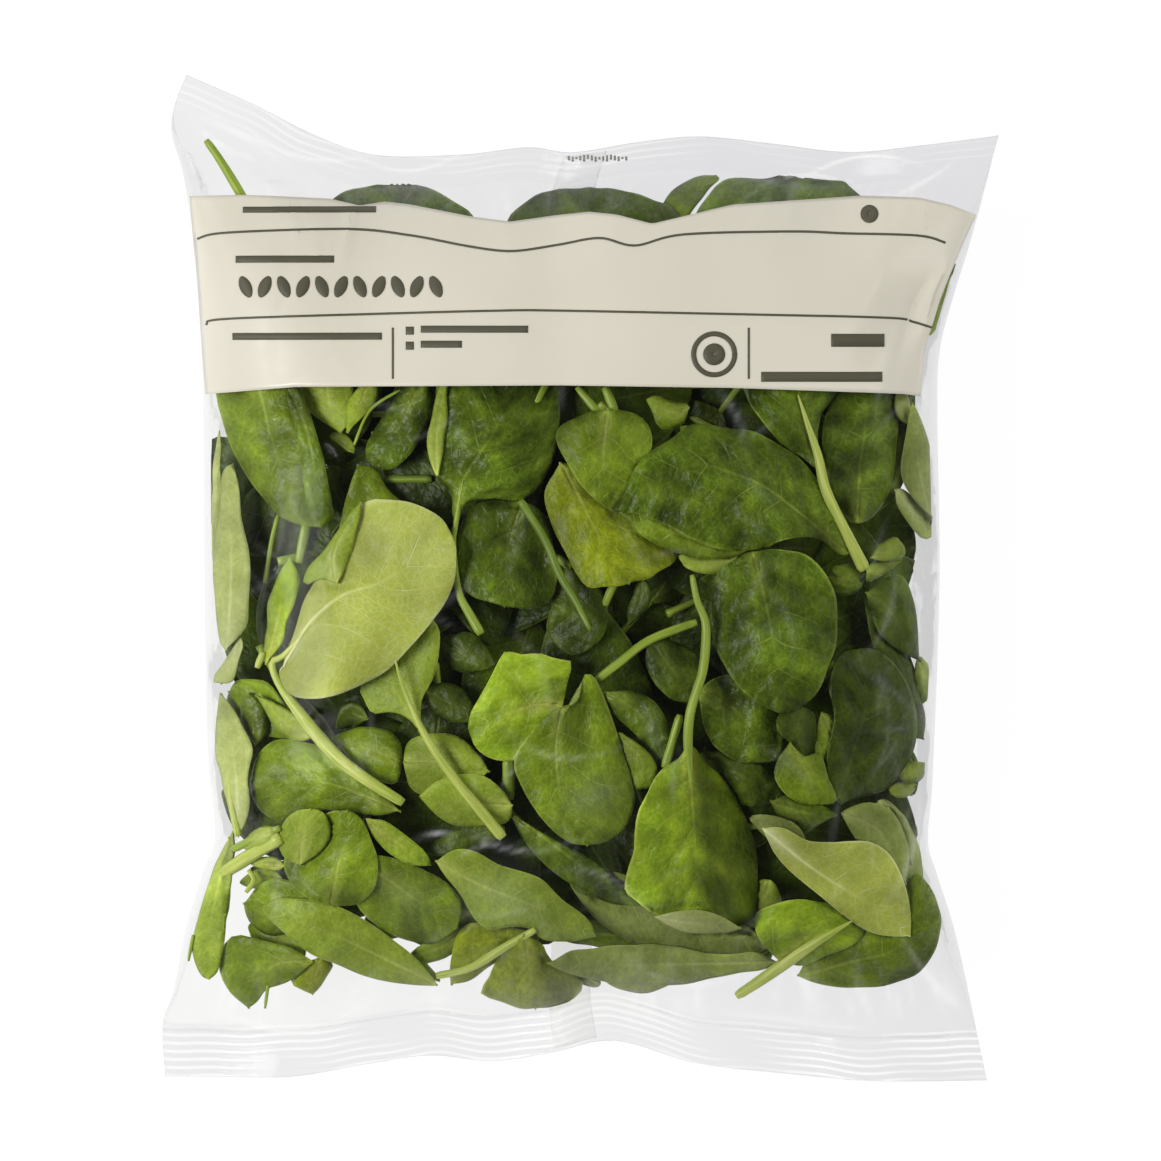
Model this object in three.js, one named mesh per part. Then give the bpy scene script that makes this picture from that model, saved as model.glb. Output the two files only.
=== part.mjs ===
// A sealed clear bag of baby spinach, lying on its back with its printed side up.
// Millimetres, +Z up, +X across the bag, +Y towards the top seal. The origin is on the
// surface that it lies on, under the middle of the bag.
import * as THREE from "three";

// Driving dimensions: how thick the filled bag lies and how its film is sealed
const FILL_HEIGHT = 72; // surface it lies on to the crown of the filled bag
const SIDE_HEIGHT = 29; // height of the widest line, where the film turns under
const BOTTOM_SEAL = 14; // width of the crimped strip at the bottom
const TOP_SEAL = 9; // width of the crimped strip at the top
const STRIP = 0.8; // thickness of the flat crimped strips

// Outline of the bag seen from above: one curve for each edge, through these points
const LEFT_EDGE = [
  [-126.5, -150.7],
  [-127.2, -135],
  [-123.5, -124],
  [-119.5, -105],
  [-113.8, -87],
  [-110.4, -77],
  [-112.6, -50],
  [-113.5, 0],
  [-114.1, 60],
  [-116, 95],
  [-119.8, 122],
  [-123.6, 138],
  [-119, 153],
];
const RIGHT_EDGE = [
  [123.5, -151.6],
  [119.5, -133],
  [113.2, -105.6],
  [107.6, -88],
  [105, -78],
  [106.4, -58],
  [108.4, 0],
  [107.8, 50],
  [108.6, 70],
  [113, 87],
  [118.6, 105],
  [127, 135.5],
];
const BOTTOM_EDGE = [
  [-126.5, -150.7],
  [-90, -150.6],
  [-66, -147],
  [-46, -144.3],
  [-27, -146.2],
  [-9, -143.4],
  [10, -139.6],
  [34, -146.2],
  [58, -149.6],
  [90, -152],
  [123.5, -151.6],
];
const TOP_EDGE = [
  [-119, 153],
  [-100, 145],
  [-80, 135.2],
  [-62, 129.8],
  [-36, 129.8],
  [-16, 132],
  [-2, 130.3],
  [18, 133.4],
  [36, 135.3],
  [58, 133.2],
  [82, 130.7],
  [104, 132.4],
  [127, 135.5],
];

// The undulation of each sealed strip: resting height, then [height, wavelength, phase]
const BOTTOM_STRIP = { height: 9, waves: [[3.2, 96, 0.6], [1.5, 43, 2]] };
const TOP_STRIP = { height: 13, waves: [[3.4, 112, 1.1], [1.6, 47, 0.4]] };
const LIFTED_CORNER = { from: -62, to: -120, height: 15 }; // the top left corner stands up

// Soft swells where the film lies over the leaves, spread evenly over the front
const SWELLS = { count: 34, height: 3, radius: 19, acrossStep: 0.7549, alongStep: 0.5698 };
const SWOLLEN_WIDTH = 204;
const SWOLLEN_LENGTH = 250;

// Pinches in the film: middle, direction of the crease, half length, half width, depth
const PINCHES = [
  { at: [100, 86], angle: 57, length: 24, width: 9, depth: 7 },
  { at: [84, 112], angle: 20, length: 26, width: 8, depth: 4 },
  { at: [-98, 108], angle: -38, length: 24, width: 8, depth: 4 },
  { at: [-92, -96], angle: 52, length: 26, width: 9, depth: 5 },
  { at: [88, -98], angle: -54, length: 26, width: 9, depth: 5 },
];

// The flat spot that the bag rests on, as shares of the bag's half width and length
const FLAT_ACROSS = 0.6;
const FLAT_FROM = 0.2;
const FLAT_TO = 0.84;

// Facets across and along the bag
const COLUMNS = 42;
const ROWS = 42;
const STRIP_ROWS = 2;

const { clamp, degToRad, lerp } = THREE.MathUtils;

const edgeCurve = (points) =>
  new THREE.SplineCurve(points.map(([x, y]) => new THREE.Vector2(x, y)));
const left = edgeCurve(LEFT_EDGE);
const right = edgeCurve(RIGHT_EDGE);
const bottom = edgeCurve(BOTTOM_EDGE);
const top = edgeCurve(TOP_EDGE);

const sealedBelow = BOTTOM_SEAL / left.getLength();
const sealedAbove = 1 - TOP_SEAL / left.getLength();

// The place, seen from above, at a share of the way across and along: a patch that
// follows all four edges.
function place(across, along) {
  const sides = left.getPointAt(along).lerp(right.getPointAt(along), across);
  const ends = bottom.getPointAt(across).lerp(top.getPointAt(across), along);
  const below = left.getPointAt(0).lerp(right.getPointAt(0), across);
  const above = left.getPointAt(1).lerp(right.getPointAt(1), across);
  return sides.add(ends).sub(below.lerp(above, along));
}

function waveHeight({ height, waves }, x) {
  return waves.reduce(
    (z, [size, length, phase]) => z + size * Math.sin((2 * Math.PI * x) / length + phase),
    height,
  );
}

// Height of the unfilled film: the two strips' undulation, carried on between them.
function slackHeight(x, along) {
  const lift = clamp((x - LIFTED_CORNER.from) / (LIFTED_CORNER.to - LIFTED_CORNER.from), 0, 1);
  const above = waveHeight(TOP_STRIP, x) + LIFTED_CORNER.height * lift * lift;
  return lerp(waveHeight(BOTTOM_STRIP, x), above, along * along * (3 - 2 * along));
}

// How full the bag is along its length: 0 in the sealed strips, 1 at its fullest.
function fullness(along) {
  const share = clamp((along - sealedBelow) / (sealedAbove - sealedBelow), 0, 1);
  return Math.pow(1 - Math.pow(Math.abs(2 * share - 1), 2.7), 0.62);
}

// How far the front stands out across the bag: 1 in the middle, 0 at its sides.
function crown(side, full) {
  return Math.sqrt(1 - Math.pow(Math.abs(side), 2 + 0.7 * full));
}

// How far the back is pressed down on the surface: 1 on the flat spot.
function pressed(side, along) {
  const out = clamp((Math.abs(side) - FLAT_ACROSS) / (1 - FLAT_ACROSS), 0, 1);
  const under = (FLAT_FROM - along) / (FLAT_FROM - sealedBelow);
  const over = (along - FLAT_TO) / (sealedAbove - FLAT_TO);
  const end = clamp(Math.max(under, over, 0), 0, 1);
  return Math.sqrt(1 - out * out) * (1 - end * end);
}

const swellMiddles = Array.from({ length: SWELLS.count }, (_, i) => ({
  x: SWOLLEN_WIDTH * (((i + 1) * SWELLS.acrossStep) % 1 - 0.5),
  y: SWOLLEN_LENGTH * (((i + 1) * SWELLS.alongStep) % 1 - 0.5),
  height: SWELLS.height * (0.7 + 0.3 * Math.cos(i)),
}));

function swellHeight({ x, y }) {
  return swellMiddles.reduce(
    (z, middle) =>
      z + middle.height * Math.exp(-((x - middle.x) ** 2 + (y - middle.y) ** 2) / SWELLS.radius ** 2),
    0,
  );
}

function pinchDepth({ x, y }) {
  return PINCHES.reduce((z, { at, angle, length, width, depth }) => {
    const turn = degToRad(angle);
    const along = (x - at[0]) * Math.cos(turn) + (y - at[1]) * Math.sin(turn);
    const off = (y - at[1]) * Math.cos(turn) - (x - at[0]) * Math.sin(turn);
    return z + depth * Math.exp(-((along / length) ** 2) - (off / width) ** 2);
  }, 0);
}

// The front and back of the film at a share of the way across and along.
function filmAt(across, along) {
  const point = place(across, along);
  const side = 2 * across - 1;
  const full = fullness(along);
  const out = crown(side, full);
  const rim = lerp(slackHeight(point.x, along), SIDE_HEIGHT, full);
  const relief = full * out * (swellHeight(point) - pinchDepth(point));
  const front = rim + STRIP / 2 + full * (FILL_HEIGHT - SIDE_HEIGHT) * out + relief;
  const back = (rim - STRIP / 2) * (1 - pressed(side, along));
  return [new THREE.Vector3(point.x, point.y, front), new THREE.Vector3(point.x, point.y, back)];
}

// Shares across, closer together towards the sides, where the film turns under.
const eased = (share) => 0.5 - 0.5 * Math.cos(Math.PI * share);
const acrossShares = Array.from({ length: COLUMNS + 1 }, (_, i) =>
  lerp(i / COLUMNS, eased(i / COLUMNS), 0.85),
);

// Shares along: a few rows in each sealed strip, then rows closer together beside them.
function alongShares() {
  const shares = [];
  for (let i = 0; i < STRIP_ROWS; i++) shares.push((sealedBelow * i) / STRIP_ROWS);
  for (let i = 0; i <= ROWS; i++) {
    shares.push(lerp(sealedBelow, sealedAbove, lerp(i / ROWS, eased(i / ROWS), 0.7)));
  }
  for (let i = 1; i <= STRIP_ROWS; i++) {
    shares.push(lerp(sealedAbove, 1, i / STRIP_ROWS));
  }
  return shares;
}

// One closed solid: the front, the back and a narrow rim that joins them all round.
function bagGeometry() {
  const shares = alongShares();
  const wide = acrossShares.length;
  const points = [];
  for (const along of shares) {
    for (const across of acrossShares) points.push(...filmAt(across, along));
  }
  const front = (row, column) => 2 * (row * wide + column);
  const back = (row, column) => front(row, column) + 1;
  const faces = [];
  const quad = (a, b, c, d) => faces.push(a, b, c, a, c, d);
  const lastRow = shares.length - 1;
  const lastColumn = wide - 1;
  for (let r = 0; r < lastRow; r++) {
    for (let c = 0; c < lastColumn; c++) {
      quad(front(r, c), front(r, c + 1), front(r + 1, c + 1), front(r + 1, c));
      quad(back(r, c), back(r + 1, c), back(r + 1, c + 1), back(r, c + 1));
    }
    quad(back(r, 0), front(r, 0), front(r + 1, 0), back(r + 1, 0));
    quad(front(r, lastColumn), back(r, lastColumn), back(r + 1, lastColumn), front(r + 1, lastColumn));
  }
  for (let c = 0; c < lastColumn; c++) {
    quad(back(0, c), back(0, c + 1), front(0, c + 1), front(0, c));
    quad(front(lastRow, c), front(lastRow, c + 1), back(lastRow, c + 1), back(lastRow, c));
  }
  const geometry = new THREE.BufferGeometry().setFromPoints(points);
  geometry.setIndex(faces);
  geometry.computeBoundingBox();
  const middle = geometry.boundingBox.getCenter(new THREE.Vector3());
  geometry.translate(-middle.x, -middle.y, 0);
  geometry.computeVertexNormals();
  return geometry;
}

const leafGreen = new THREE.MeshStandardMaterial({ color: "#5f7a3c", roughness: 0.32, metalness: 0 });

const bag = new THREE.Mesh(bagGeometry(), leafGreen);
bag.name = "spinach_bag";

const part = new THREE.Group();
part.add(bag);

export default part;
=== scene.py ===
"""A clear film bag of baby spinach, lying on its back: film, seals and print, and the leaves inside."""
import math
from collections import namedtuple

import bpy
import numpy as np
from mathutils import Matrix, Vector


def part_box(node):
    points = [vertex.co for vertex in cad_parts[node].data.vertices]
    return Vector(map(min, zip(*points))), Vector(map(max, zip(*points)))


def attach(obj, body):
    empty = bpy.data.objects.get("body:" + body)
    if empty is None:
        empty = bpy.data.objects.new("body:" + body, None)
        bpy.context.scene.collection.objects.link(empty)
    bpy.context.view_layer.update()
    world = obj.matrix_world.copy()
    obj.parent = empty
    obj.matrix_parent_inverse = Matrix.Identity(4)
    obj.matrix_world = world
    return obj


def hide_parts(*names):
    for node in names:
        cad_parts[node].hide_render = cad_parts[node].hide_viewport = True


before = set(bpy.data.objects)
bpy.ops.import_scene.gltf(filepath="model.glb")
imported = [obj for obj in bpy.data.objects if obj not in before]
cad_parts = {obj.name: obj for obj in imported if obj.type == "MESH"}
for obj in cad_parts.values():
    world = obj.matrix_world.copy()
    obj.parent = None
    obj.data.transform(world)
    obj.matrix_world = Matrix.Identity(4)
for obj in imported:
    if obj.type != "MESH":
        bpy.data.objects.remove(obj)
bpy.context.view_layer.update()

# Scale of the photograph: the bottom seal, 250 mm of flat film, spans 825 pixels
MM = 0.001
MM_PER_PIXEL = 250 / 825
PHOTO_MIDDLE = 580.5
PHOTO_WIDTH = 1161
CAMERA_HEIGHT = 2500
OUTLINE_HEIGHT = 20  # height at which the outline of the bag is seen
SENSOR_WIDTH = 36

# The filled bag, in millimetres
FILL_HEIGHT = 72
SIDE_HEIGHT = 29
BOTTOM_SEAL = 14
TOP_SEAL = 9
LEFT_EDGE = (
    (-126.5, -150.7), (-127.2, -135), (-123.5, -124), (-119.5, -105), (-113.8, -87), (-110.4, -77),
    (-112.6, -50), (-113.5, 0), (-114.1, 60), (-116, 95), (-119.8, 122), (-123.6, 138), (-119, 153),
)
RIGHT_EDGE = (
    (123.5, -151.6), (119.5, -133), (113.2, -105.6), (107.6, -88), (105, -78), (106.4, -58),
    (108.4, 0), (107.8, 50), (108.6, 70), (113, 87), (118.6, 105), (127, 135.5),
)
BOTTOM_EDGE = (
    (-126.5, -150.7), (-90, -150.6), (-66, -147), (-46, -144.3), (-27, -146.2), (-9, -143.4),
    (10, -139.6), (34, -146.2), (58, -149.6), (90, -152), (123.5, -151.6),
)
TOP_EDGE = (
    (-119, 153), (-100, 145), (-80, 135.2), (-62, 129.8), (-36, 129.8), (-16, 132), (-2, 130.3),
    (18, 133.4), (36, 135.3), (58, 133.2), (82, 130.7), (104, 132.4), (127, 135.5),
)
Strip = namedtuple("Strip", "height waves")  # waves: height, wavelength, phase
BOTTOM_STRIP = Strip(9, ((3.2, 96, 0.6), (1.5, 43, 2)))
TOP_STRIP = Strip(13, ((3.4, 112, 1.1), (1.6, 47, 0.4)))
LIFT_FROM, LIFT_TO, LIFT_HEIGHT = -62, -120, 15  # the top left corner stands up
SWELL_COUNT, SWELL_HEIGHT, SWELL_RADIUS = 34, 3, 19
SWELL_ACROSS_STEP, SWELL_ALONG_STEP = 0.7549, 0.5698  # shares that spread the swells evenly
SWOLLEN_WIDTH, SWOLLEN_LENGTH = 204, 250
Pinch = namedtuple("Pinch", "x y angle length width depth")
PINCHES = (
    Pinch(100, 86, 57, 24, 9, 7),
    Pinch(84, 112, 20, 26, 8, 4),
    Pinch(-98, 108, -38, 24, 8, 4),
    Pinch(-92, -96, 52, 26, 9, 5),
    Pinch(88, -98, -54, 26, 9, 5),
)
FLAT_ACROSS, FLAT_FROM, FLAT_TO = 0.6, 0.2, 0.84
LEAF_THICKNESS = 0.38
LEAF_GAP = 0.15  # between one leaf and the next
CLEARANCE = 0.55  # between a leaf and the film
FIN_THICKNESS = 0.5  # the back seam lies folded flat between the film and the surface


def lerp(a, b, share):
    """The value at a share of the way from one to another."""
    return a + (b - a) * share


def smooth(share):
    """A share from 0 to 1, eased in and out."""
    held = np.clip(share, 0, 1)
    return held * held * (3 - 2 * held)


# Curves

def curve_points(points, steps=24):
    """Points close together on the smooth curve through the given ones."""
    given = np.array(points, float)
    padded = np.vstack([given[0], given, given[-1]])
    share = np.linspace(0, 1, steps, endpoint=False)[:, None]
    pieces = []
    for first in range(len(given) - 1):
        a, b, c, d = padded[first:first + 4]
        bend = (2 * a - 5 * b + 4 * c - d) * share**2 + (3 * b - a - 3 * c + d) * share**3
        pieces.append(b + 0.5 * ((c - a) * share + bend))
    return np.vstack(pieces + [given[-1:]])


def curve_through(points):
    """The curve as a function of the share of its length, and its length."""
    fine = curve_points(points)
    steps = np.linalg.norm(np.diff(fine, axis=0), axis=1)
    travelled = np.concatenate([[0], np.cumsum(steps)])
    share = travelled / travelled[-1]

    def at(wanted):
        return np.stack([np.interp(wanted, share, column) for column in fine.T], -1)

    return at, travelled[-1]


def profile_through(values, share):
    """A smooth profile through values that stand evenly from share 0 to share 1."""
    knots = np.linspace(0, 1, len(values))
    fine = curve_points(np.stack([knots, values], -1), 12)
    return np.interp(share, fine[:, 0], fine[:, 1])


left, side_length = curve_through(LEFT_EDGE)
right = curve_through(RIGHT_EDGE)[0]
bottom = curve_through(BOTTOM_EDGE)[0]
top = curve_through(TOP_EDGE)[0]
SEALED_BELOW = BOTTOM_SEAL / side_length
SEALED_ABOVE = 1 - TOP_SEAL / side_length


# Form of the bag

def place(across, along):
    """Where a share of the way across and along lies, seen from above."""
    a = np.asarray(across, float)[..., None]
    b = np.asarray(along, float)[..., None]
    sides = lerp(left(along), right(along), a)
    ends = lerp(bottom(across), top(across), b)
    below = lerp(left(0.0), right(0.0), a)
    above = lerp(left(1.0), right(1.0), a)
    return sides + ends - lerp(below, above, b)


def wave_height(strip, x):
    """Height of a sealed strip's undulation."""
    waves = (size * np.sin(2 * np.pi * x / length + phase) for size, length, phase in strip.waves)
    return strip.height + sum(waves)


def slack_height(x, along):
    """Height of the unfilled film: the two strips' undulation, carried on between them."""
    lift = np.clip((x - LIFT_FROM) / (LIFT_TO - LIFT_FROM), 0, 1)
    above = wave_height(TOP_STRIP, x) + LIFT_HEIGHT * lift**2
    return lerp(wave_height(BOTTOM_STRIP, x), above, smooth(along))


def fullness(along):
    """How full the bag is along its length: 0 in the sealed strips, 1 at its fullest."""
    share = np.clip((along - SEALED_BELOW) / (SEALED_ABOVE - SEALED_BELOW), 0, 1)
    return (1 - np.abs(2 * share - 1) ** 2.7) ** 0.62


def crown(side, full):
    """How far the front stands out across the bag: 1 in the middle, 0 at its sides."""
    return np.sqrt(1 - np.clip(np.abs(side), 0, 1) ** (2 + 0.7 * full))


def pressed(side, along):
    """How far the back is pressed down on the surface: 1 on the flat spot."""
    out = np.clip((np.abs(side) - FLAT_ACROSS) / (1 - FLAT_ACROSS), 0, 1)
    under = (FLAT_FROM - along) / (FLAT_FROM - SEALED_BELOW)
    over = (along - FLAT_TO) / (SEALED_ABOVE - FLAT_TO)
    end = np.clip(np.maximum(under, over), 0, 1)
    return np.sqrt(1 - out**2) * (1 - end**2)


def swell_height(x, y):
    """Soft swells where the film lies over the leaves, spread evenly over the front."""
    height = np.zeros_like(x)
    for i in range(SWELL_COUNT):
        middle_x = SWOLLEN_WIDTH * (((i + 1) * SWELL_ACROSS_STEP) % 1 - 0.5)
        middle_y = SWOLLEN_LENGTH * (((i + 1) * SWELL_ALONG_STEP) % 1 - 0.5)
        size = SWELL_HEIGHT * (0.7 + 0.3 * math.cos(i))
        height += size * np.exp(-((x - middle_x) ** 2 + (y - middle_y) ** 2) / SWELL_RADIUS**2)
    return height


def pinch_depth(x, y):
    """How deep the film is pinched in at the corners of the bag."""
    depth = np.zeros_like(x)
    for pinch in PINCHES:
        turn = math.radians(pinch.angle)
        run = (x - pinch.x) * math.cos(turn) + (y - pinch.y) * math.sin(turn)
        off = (y - pinch.y) * math.cos(turn) - (x - pinch.x) * math.sin(turn)
        depth += pinch.depth * np.exp(-((run / pinch.length) ** 2) - (off / pinch.width) ** 2)
    return depth


def film_at(across, along):
    """Where the film lies at shares across and along: x, y, and heights of its front and back."""
    spot = place(across, along)
    x, y = spot[..., 0], spot[..., 1]
    side = 2 * across - 1
    full = fullness(along)
    out = crown(side, full)
    rim = lerp(slack_height(x, along), SIDE_HEIGHT, full)
    relief = full * out * (swell_height(x, y) - pinch_depth(x, y))
    front = rim + full * (FILL_HEIGHT - SIDE_HEIGHT) * out + relief
    back = rim * (1 - pressed(side, along))
    return x, y, front, np.maximum(back, FIN_THICKNESS)


# A plain rectangle about as large as the bag, to start from in finding shares, and steps that correct them
BAG_LEFT, BAG_FOOT, BAG_WIDE, BAG_LONG = -115, -146, 228, 283
CORRECTIONS, STEP_WIDE, STEP_LONG = 16, 235, 290


def shares_at(x, y):
    """The shares across and along of the film over a place seen from above."""
    across = np.clip((x - BAG_LEFT) / BAG_WIDE, 0, 1)
    along = np.clip((y - BAG_FOOT) / BAG_LONG, 0, 1)
    for _ in range(CORRECTIONS):
        spot = place(across, along)
        across = np.clip(across + (x - spot[..., 0]) / STEP_WIDE, 0, 1)
        along = np.clip(along + (y - spot[..., 1]) / STEP_LONG, 0, 1)
    return across, along


# Creases that catch the light

# white: how bright a painted glint the crease gets
Crease = namedtuple("Crease", "x y angle length width height white", defaults=(0.12,))
CREASE_SEED = 7
BOTTOM_CREASES, TOP_CREASES, FRONT_CREASES, SIDE_CREASES = 46, 34, 60, 26
BOTTOM_CREASES_FROM, TOP_CREASES_FROM = -134, 121  # where the film comes out of each seal


def seeded_creases():
    """Fine creases in the film: fans of them off both seals, and some on the front and the sides."""
    rng = np.random.default_rng(CREASE_SEED)
    creases = []
    for _ in range(BOTTOM_CREASES):
        x = rng.uniform(-112, 112)
        angle = 90 + x * 0.16 + rng.normal(0, 16)
        length = rng.uniform(6, 19)
        width, height = rng.uniform(0.7, 1.6), rng.uniform(0.25, 0.8)
        creases.append(Crease(x, BOTTOM_CREASES_FROM + 0.75 * length, angle, length, width, height))
    for _ in range(TOP_CREASES):
        x = rng.uniform(-112, 118)
        angle = 90 - x * 0.14 + rng.normal(0, 18)
        length = rng.uniform(6, 17)
        width, height = rng.uniform(0.7, 1.6), rng.uniform(0.2, 0.7)
        creases.append(Crease(x, TOP_CREASES_FROM - 0.75 * length, angle, length, width, height))
    for _ in range(FRONT_CREASES):
        x = rng.uniform(-100, 100)
        y = rng.uniform(-118, 112)
        angle, length = rng.uniform(0, 180), rng.uniform(5, 18)
        creases.append(Crease(x, y, angle, length, rng.uniform(0.8, 1.8), rng.uniform(-0.3, 0.35)))
    for _ in range(SIDE_CREASES):
        x = rng.choice([-1, 1]) * rng.uniform(88, 106)
        y = rng.uniform(-100, 100)
        angle, length = rng.normal(90, 24), rng.uniform(8, 26)
        creases.append(Crease(x, y, angle, length, rng.uniform(0.9, 2.0), rng.uniform(-0.5, 0.6)))
    return creases


# Long creases that the photograph shows: under both seals, off the corners and low across the front
# The last number of each crease is how bright its painted glint is
LONG_CREASES = (
    Crease(-84, 128.5, -12, 22, 0.8, 0.7, 0.4),
    Crease(-52, 125, 2, 26, 0.7, 0.6, 0.3),
    Crease(-104, 136, -28, 20, 1.2, 0.7, 0.3),
    Crease(-108, 131, -30, 14, 0.9, 0.6, 0.3),
    Crease(64, 123, 12, 26, 0.7, 0.6, 0.6),
    Crease(84, 129, 8, 26, 0.8, 0.7, 0.5),
    Crease(104, 121, 30, 16, 1.2, 0.5, 0.3),
    Crease(108, 90, 62, 16, 4.0, 3.4, 0.1),
    Crease(101, 84, 62, 14, 4.0, -3.0, 0.1),
    Crease(66, -133.5, -7, 22, 0.9, 0.6, 0.4),
    Crease(30, -121, -10, 24, 1.0, 0.4, 0.3),
    Crease(-84, -136, 6, 26, 1.1, 0.6, 0.4),
    Crease(104, -118, -52, 20, 1.6, 0.6, 0.3),
    Crease(100, -80, 74, 24, 1.8, 0.5, 0.3),
    Crease(-20, -80, -9, 22, 1.0, 0.3, 0.45),
    Crease(8, -88, -24, 16, 1.2, 0.3, 0.35),
    Crease(-26, -100, 4, 16, 0.9, 0.3, 0.3),
    Crease(-43, -75, 8, 7, 1.0, 0.4, 0.6),
    Crease(-30, -79, 20, 9, 0.8, 0.3, 0.5),
    Crease(-8, -52, -12, 20, 1.0, 0.3, 0.35),
    Crease(-20, -55, 70, 10, 0.7, 0.2, 0.3),
    Crease(46, 50, -62, 12, 1.6, 0.2, 0.25),
    Crease(-24, -94, -25, 16, 14, 0.1, 0.13),
    Crease(3, -64, 20, 13, 12, 0.1, 0.1),
    Crease(-52, -94, -10, 12, 11, 0.1, 0.07),
)
CREASES = tuple(seeded_creases()) + LONG_CREASES


def crease_relief(x, y):
    """Height of the creases in the film, and how bright a painted glint they get there, from 0 to 1."""
    height = np.zeros_like(x)
    mark = np.zeros_like(x)
    for crease in CREASES:
        reach = 2.4 * crease.length
        near = (np.abs(x - crease.x) < reach) & (np.abs(y - crease.y) < reach)
        if not near.any():
            continue
        turn = math.radians(crease.angle)
        dx, dy = x[near] - crease.x, y[near] - crease.y
        run = dx * math.cos(turn) + dy * math.sin(turn)
        off = dy * math.cos(turn) - dx * math.sin(turn) + 0.02 * run**2 * math.sin(crease.x)
        ridge = np.exp(-np.abs(off) / crease.width) * np.exp(-((run / crease.length) ** 2))
        height[near] += crease.height * ridge
        mark[near] += crease.white * ridge**2.5
    return height, np.clip(mark, 0, 1)


CRIMP_PITCH = 2.5  # the jaws of the sealer press ridges this far apart
CRIMP_HEIGHT = 0.22
BOTTOM_CRIMPED = BOTTOM_SEAL + 4  # the crimps run on a little past the bottom strip
CRIMP_EASE = 2.5  # over which they die away


def crimp_relief(across, along):
    """Height of the ridges along both sealed strips, how bright a painted glint their tops get, and where the
    strips are.
    """
    below = along * side_length
    above = (1 - along) * side_length
    from_edge = np.minimum(below, above)
    width = np.where(below < above, BOTTOM_CRIMPED, TOP_SEAL)
    inside = smooth((width - from_edge) / CRIMP_EASE)
    bent = from_edge + 0.5 * np.sin(across * 31) + 0.3 * np.sin(across * 67 + 1)
    blotches = np.sin(across * 23 + 1.3) * np.sin(across * 9.1 + along * 60)
    patchy = np.clip(0.65 + 0.85 * blotches, 0.06, 1.2)
    turn = 2 * np.pi * bent / CRIMP_PITCH
    grip = inside * patchy * np.where(below < above, 1.0, 0.45)
    # Painted glint: the tops of the ridges are drawn whiter
    line = np.clip(np.sin(turn), 0, 1) ** 2
    return CRIMP_HEIGHT * grip * np.sin(turn), grip * line, inside


def front_height(across, along):
    """Height of the front of the film, creases and crimps included."""
    x, y, front, _ = film_at(across, along)
    body = smooth((1 - np.abs(2 * across - 1)) * 14)
    return x, y, front + body * crease_relief(x, y)[0] + crimp_relief(across, along)[0]


# Heights of the film on a grid seen from above, to place things by

GRID_STEP = 1.5
grid_x = np.arange(-132, 132 + GRID_STEP, GRID_STEP)
grid_y = np.arange(-158, 160 + GRID_STEP, GRID_STEP)
mesh_x, mesh_y = np.meshgrid(grid_x, grid_y)
grid_across, grid_along = shares_at(mesh_x, mesh_y)
_, _, grid_front, grid_back = film_at(grid_across, grid_along)


def sampled(field, x, y):
    """The field's value at places seen from above."""
    column = np.clip((x - grid_x[0]) / GRID_STEP, 0, len(grid_x) - 1.001)
    row = np.clip((y - grid_y[0]) / GRID_STEP, 0, len(grid_y) - 1.001)
    c, r = column.astype(int), row.astype(int)
    u, v = column - c, row - r
    low = lerp(field[r, c], field[r, c + 1], u)
    high = lerp(field[r + 1, c], field[r + 1, c + 1], u)
    return lerp(low, high, v)


USUAL_HEIGHT = 50.0  # of the front, to start from
SIGHTINGS = 4  # each one starts from the height that the last one found


def on_film(pixels, depth=0.0):
    """Places under given pixels of the photograph, a depth below the film: x, y and height."""
    spots = np.asarray(pixels, float)
    height = np.full(spots.shape[:-1], USUAL_HEIGHT)
    for _ in range(SIGHTINGS):
        scale = MM_PER_PIXEL * (CAMERA_HEIGHT - height) / (CAMERA_HEIGHT - OUTLINE_HEIGHT)
        x = (spots[..., 0] - PHOTO_MIDDLE) * scale
        y = (PHOTO_MIDDLE + 1 - spots[..., 1]) * scale
        height = sampled(grid_front, x, y) - depth
    return x, y, height


lowest_above = grid_front.copy()  # underside of what lies above, leaf by leaf


def under_others(x, y, z):
    """Heights kept under the leaves already laid."""
    return np.minimum(z, sampled(lowest_above, x, y) - LEAF_GAP)


def lay_over(x, y, z):
    """Note a leaf's underside, so that the next ones lie under it."""
    column = np.clip(np.rint((x - grid_x[0]) / GRID_STEP).astype(int), 1, len(grid_x) - 2)
    row = np.clip(np.rint((y - grid_y[0]) / GRID_STEP).astype(int), 1, len(grid_y) - 2)
    for down in (-1, 0, 1):
        for over in (-1, 0, 1):
            np.minimum.at(lowest_above, (row + down, column + over), z - LEAF_THICKNESS)


# Meshes

outline = place(*np.meshgrid(np.linspace(0, 1, 81), np.linspace(0, 1, 161)))
box_low, box_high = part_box("spinach_bag")
MIDDLE = np.array([
    (outline[..., 0].min() + outline[..., 0].max()) / 2 - (box_low.x + box_high.x) / 2 / MM,
    (outline[..., 1].min() + outline[..., 1].max()) / 2 - (box_low.y + box_high.y) / 2 / MM,
    0,
])


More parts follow.
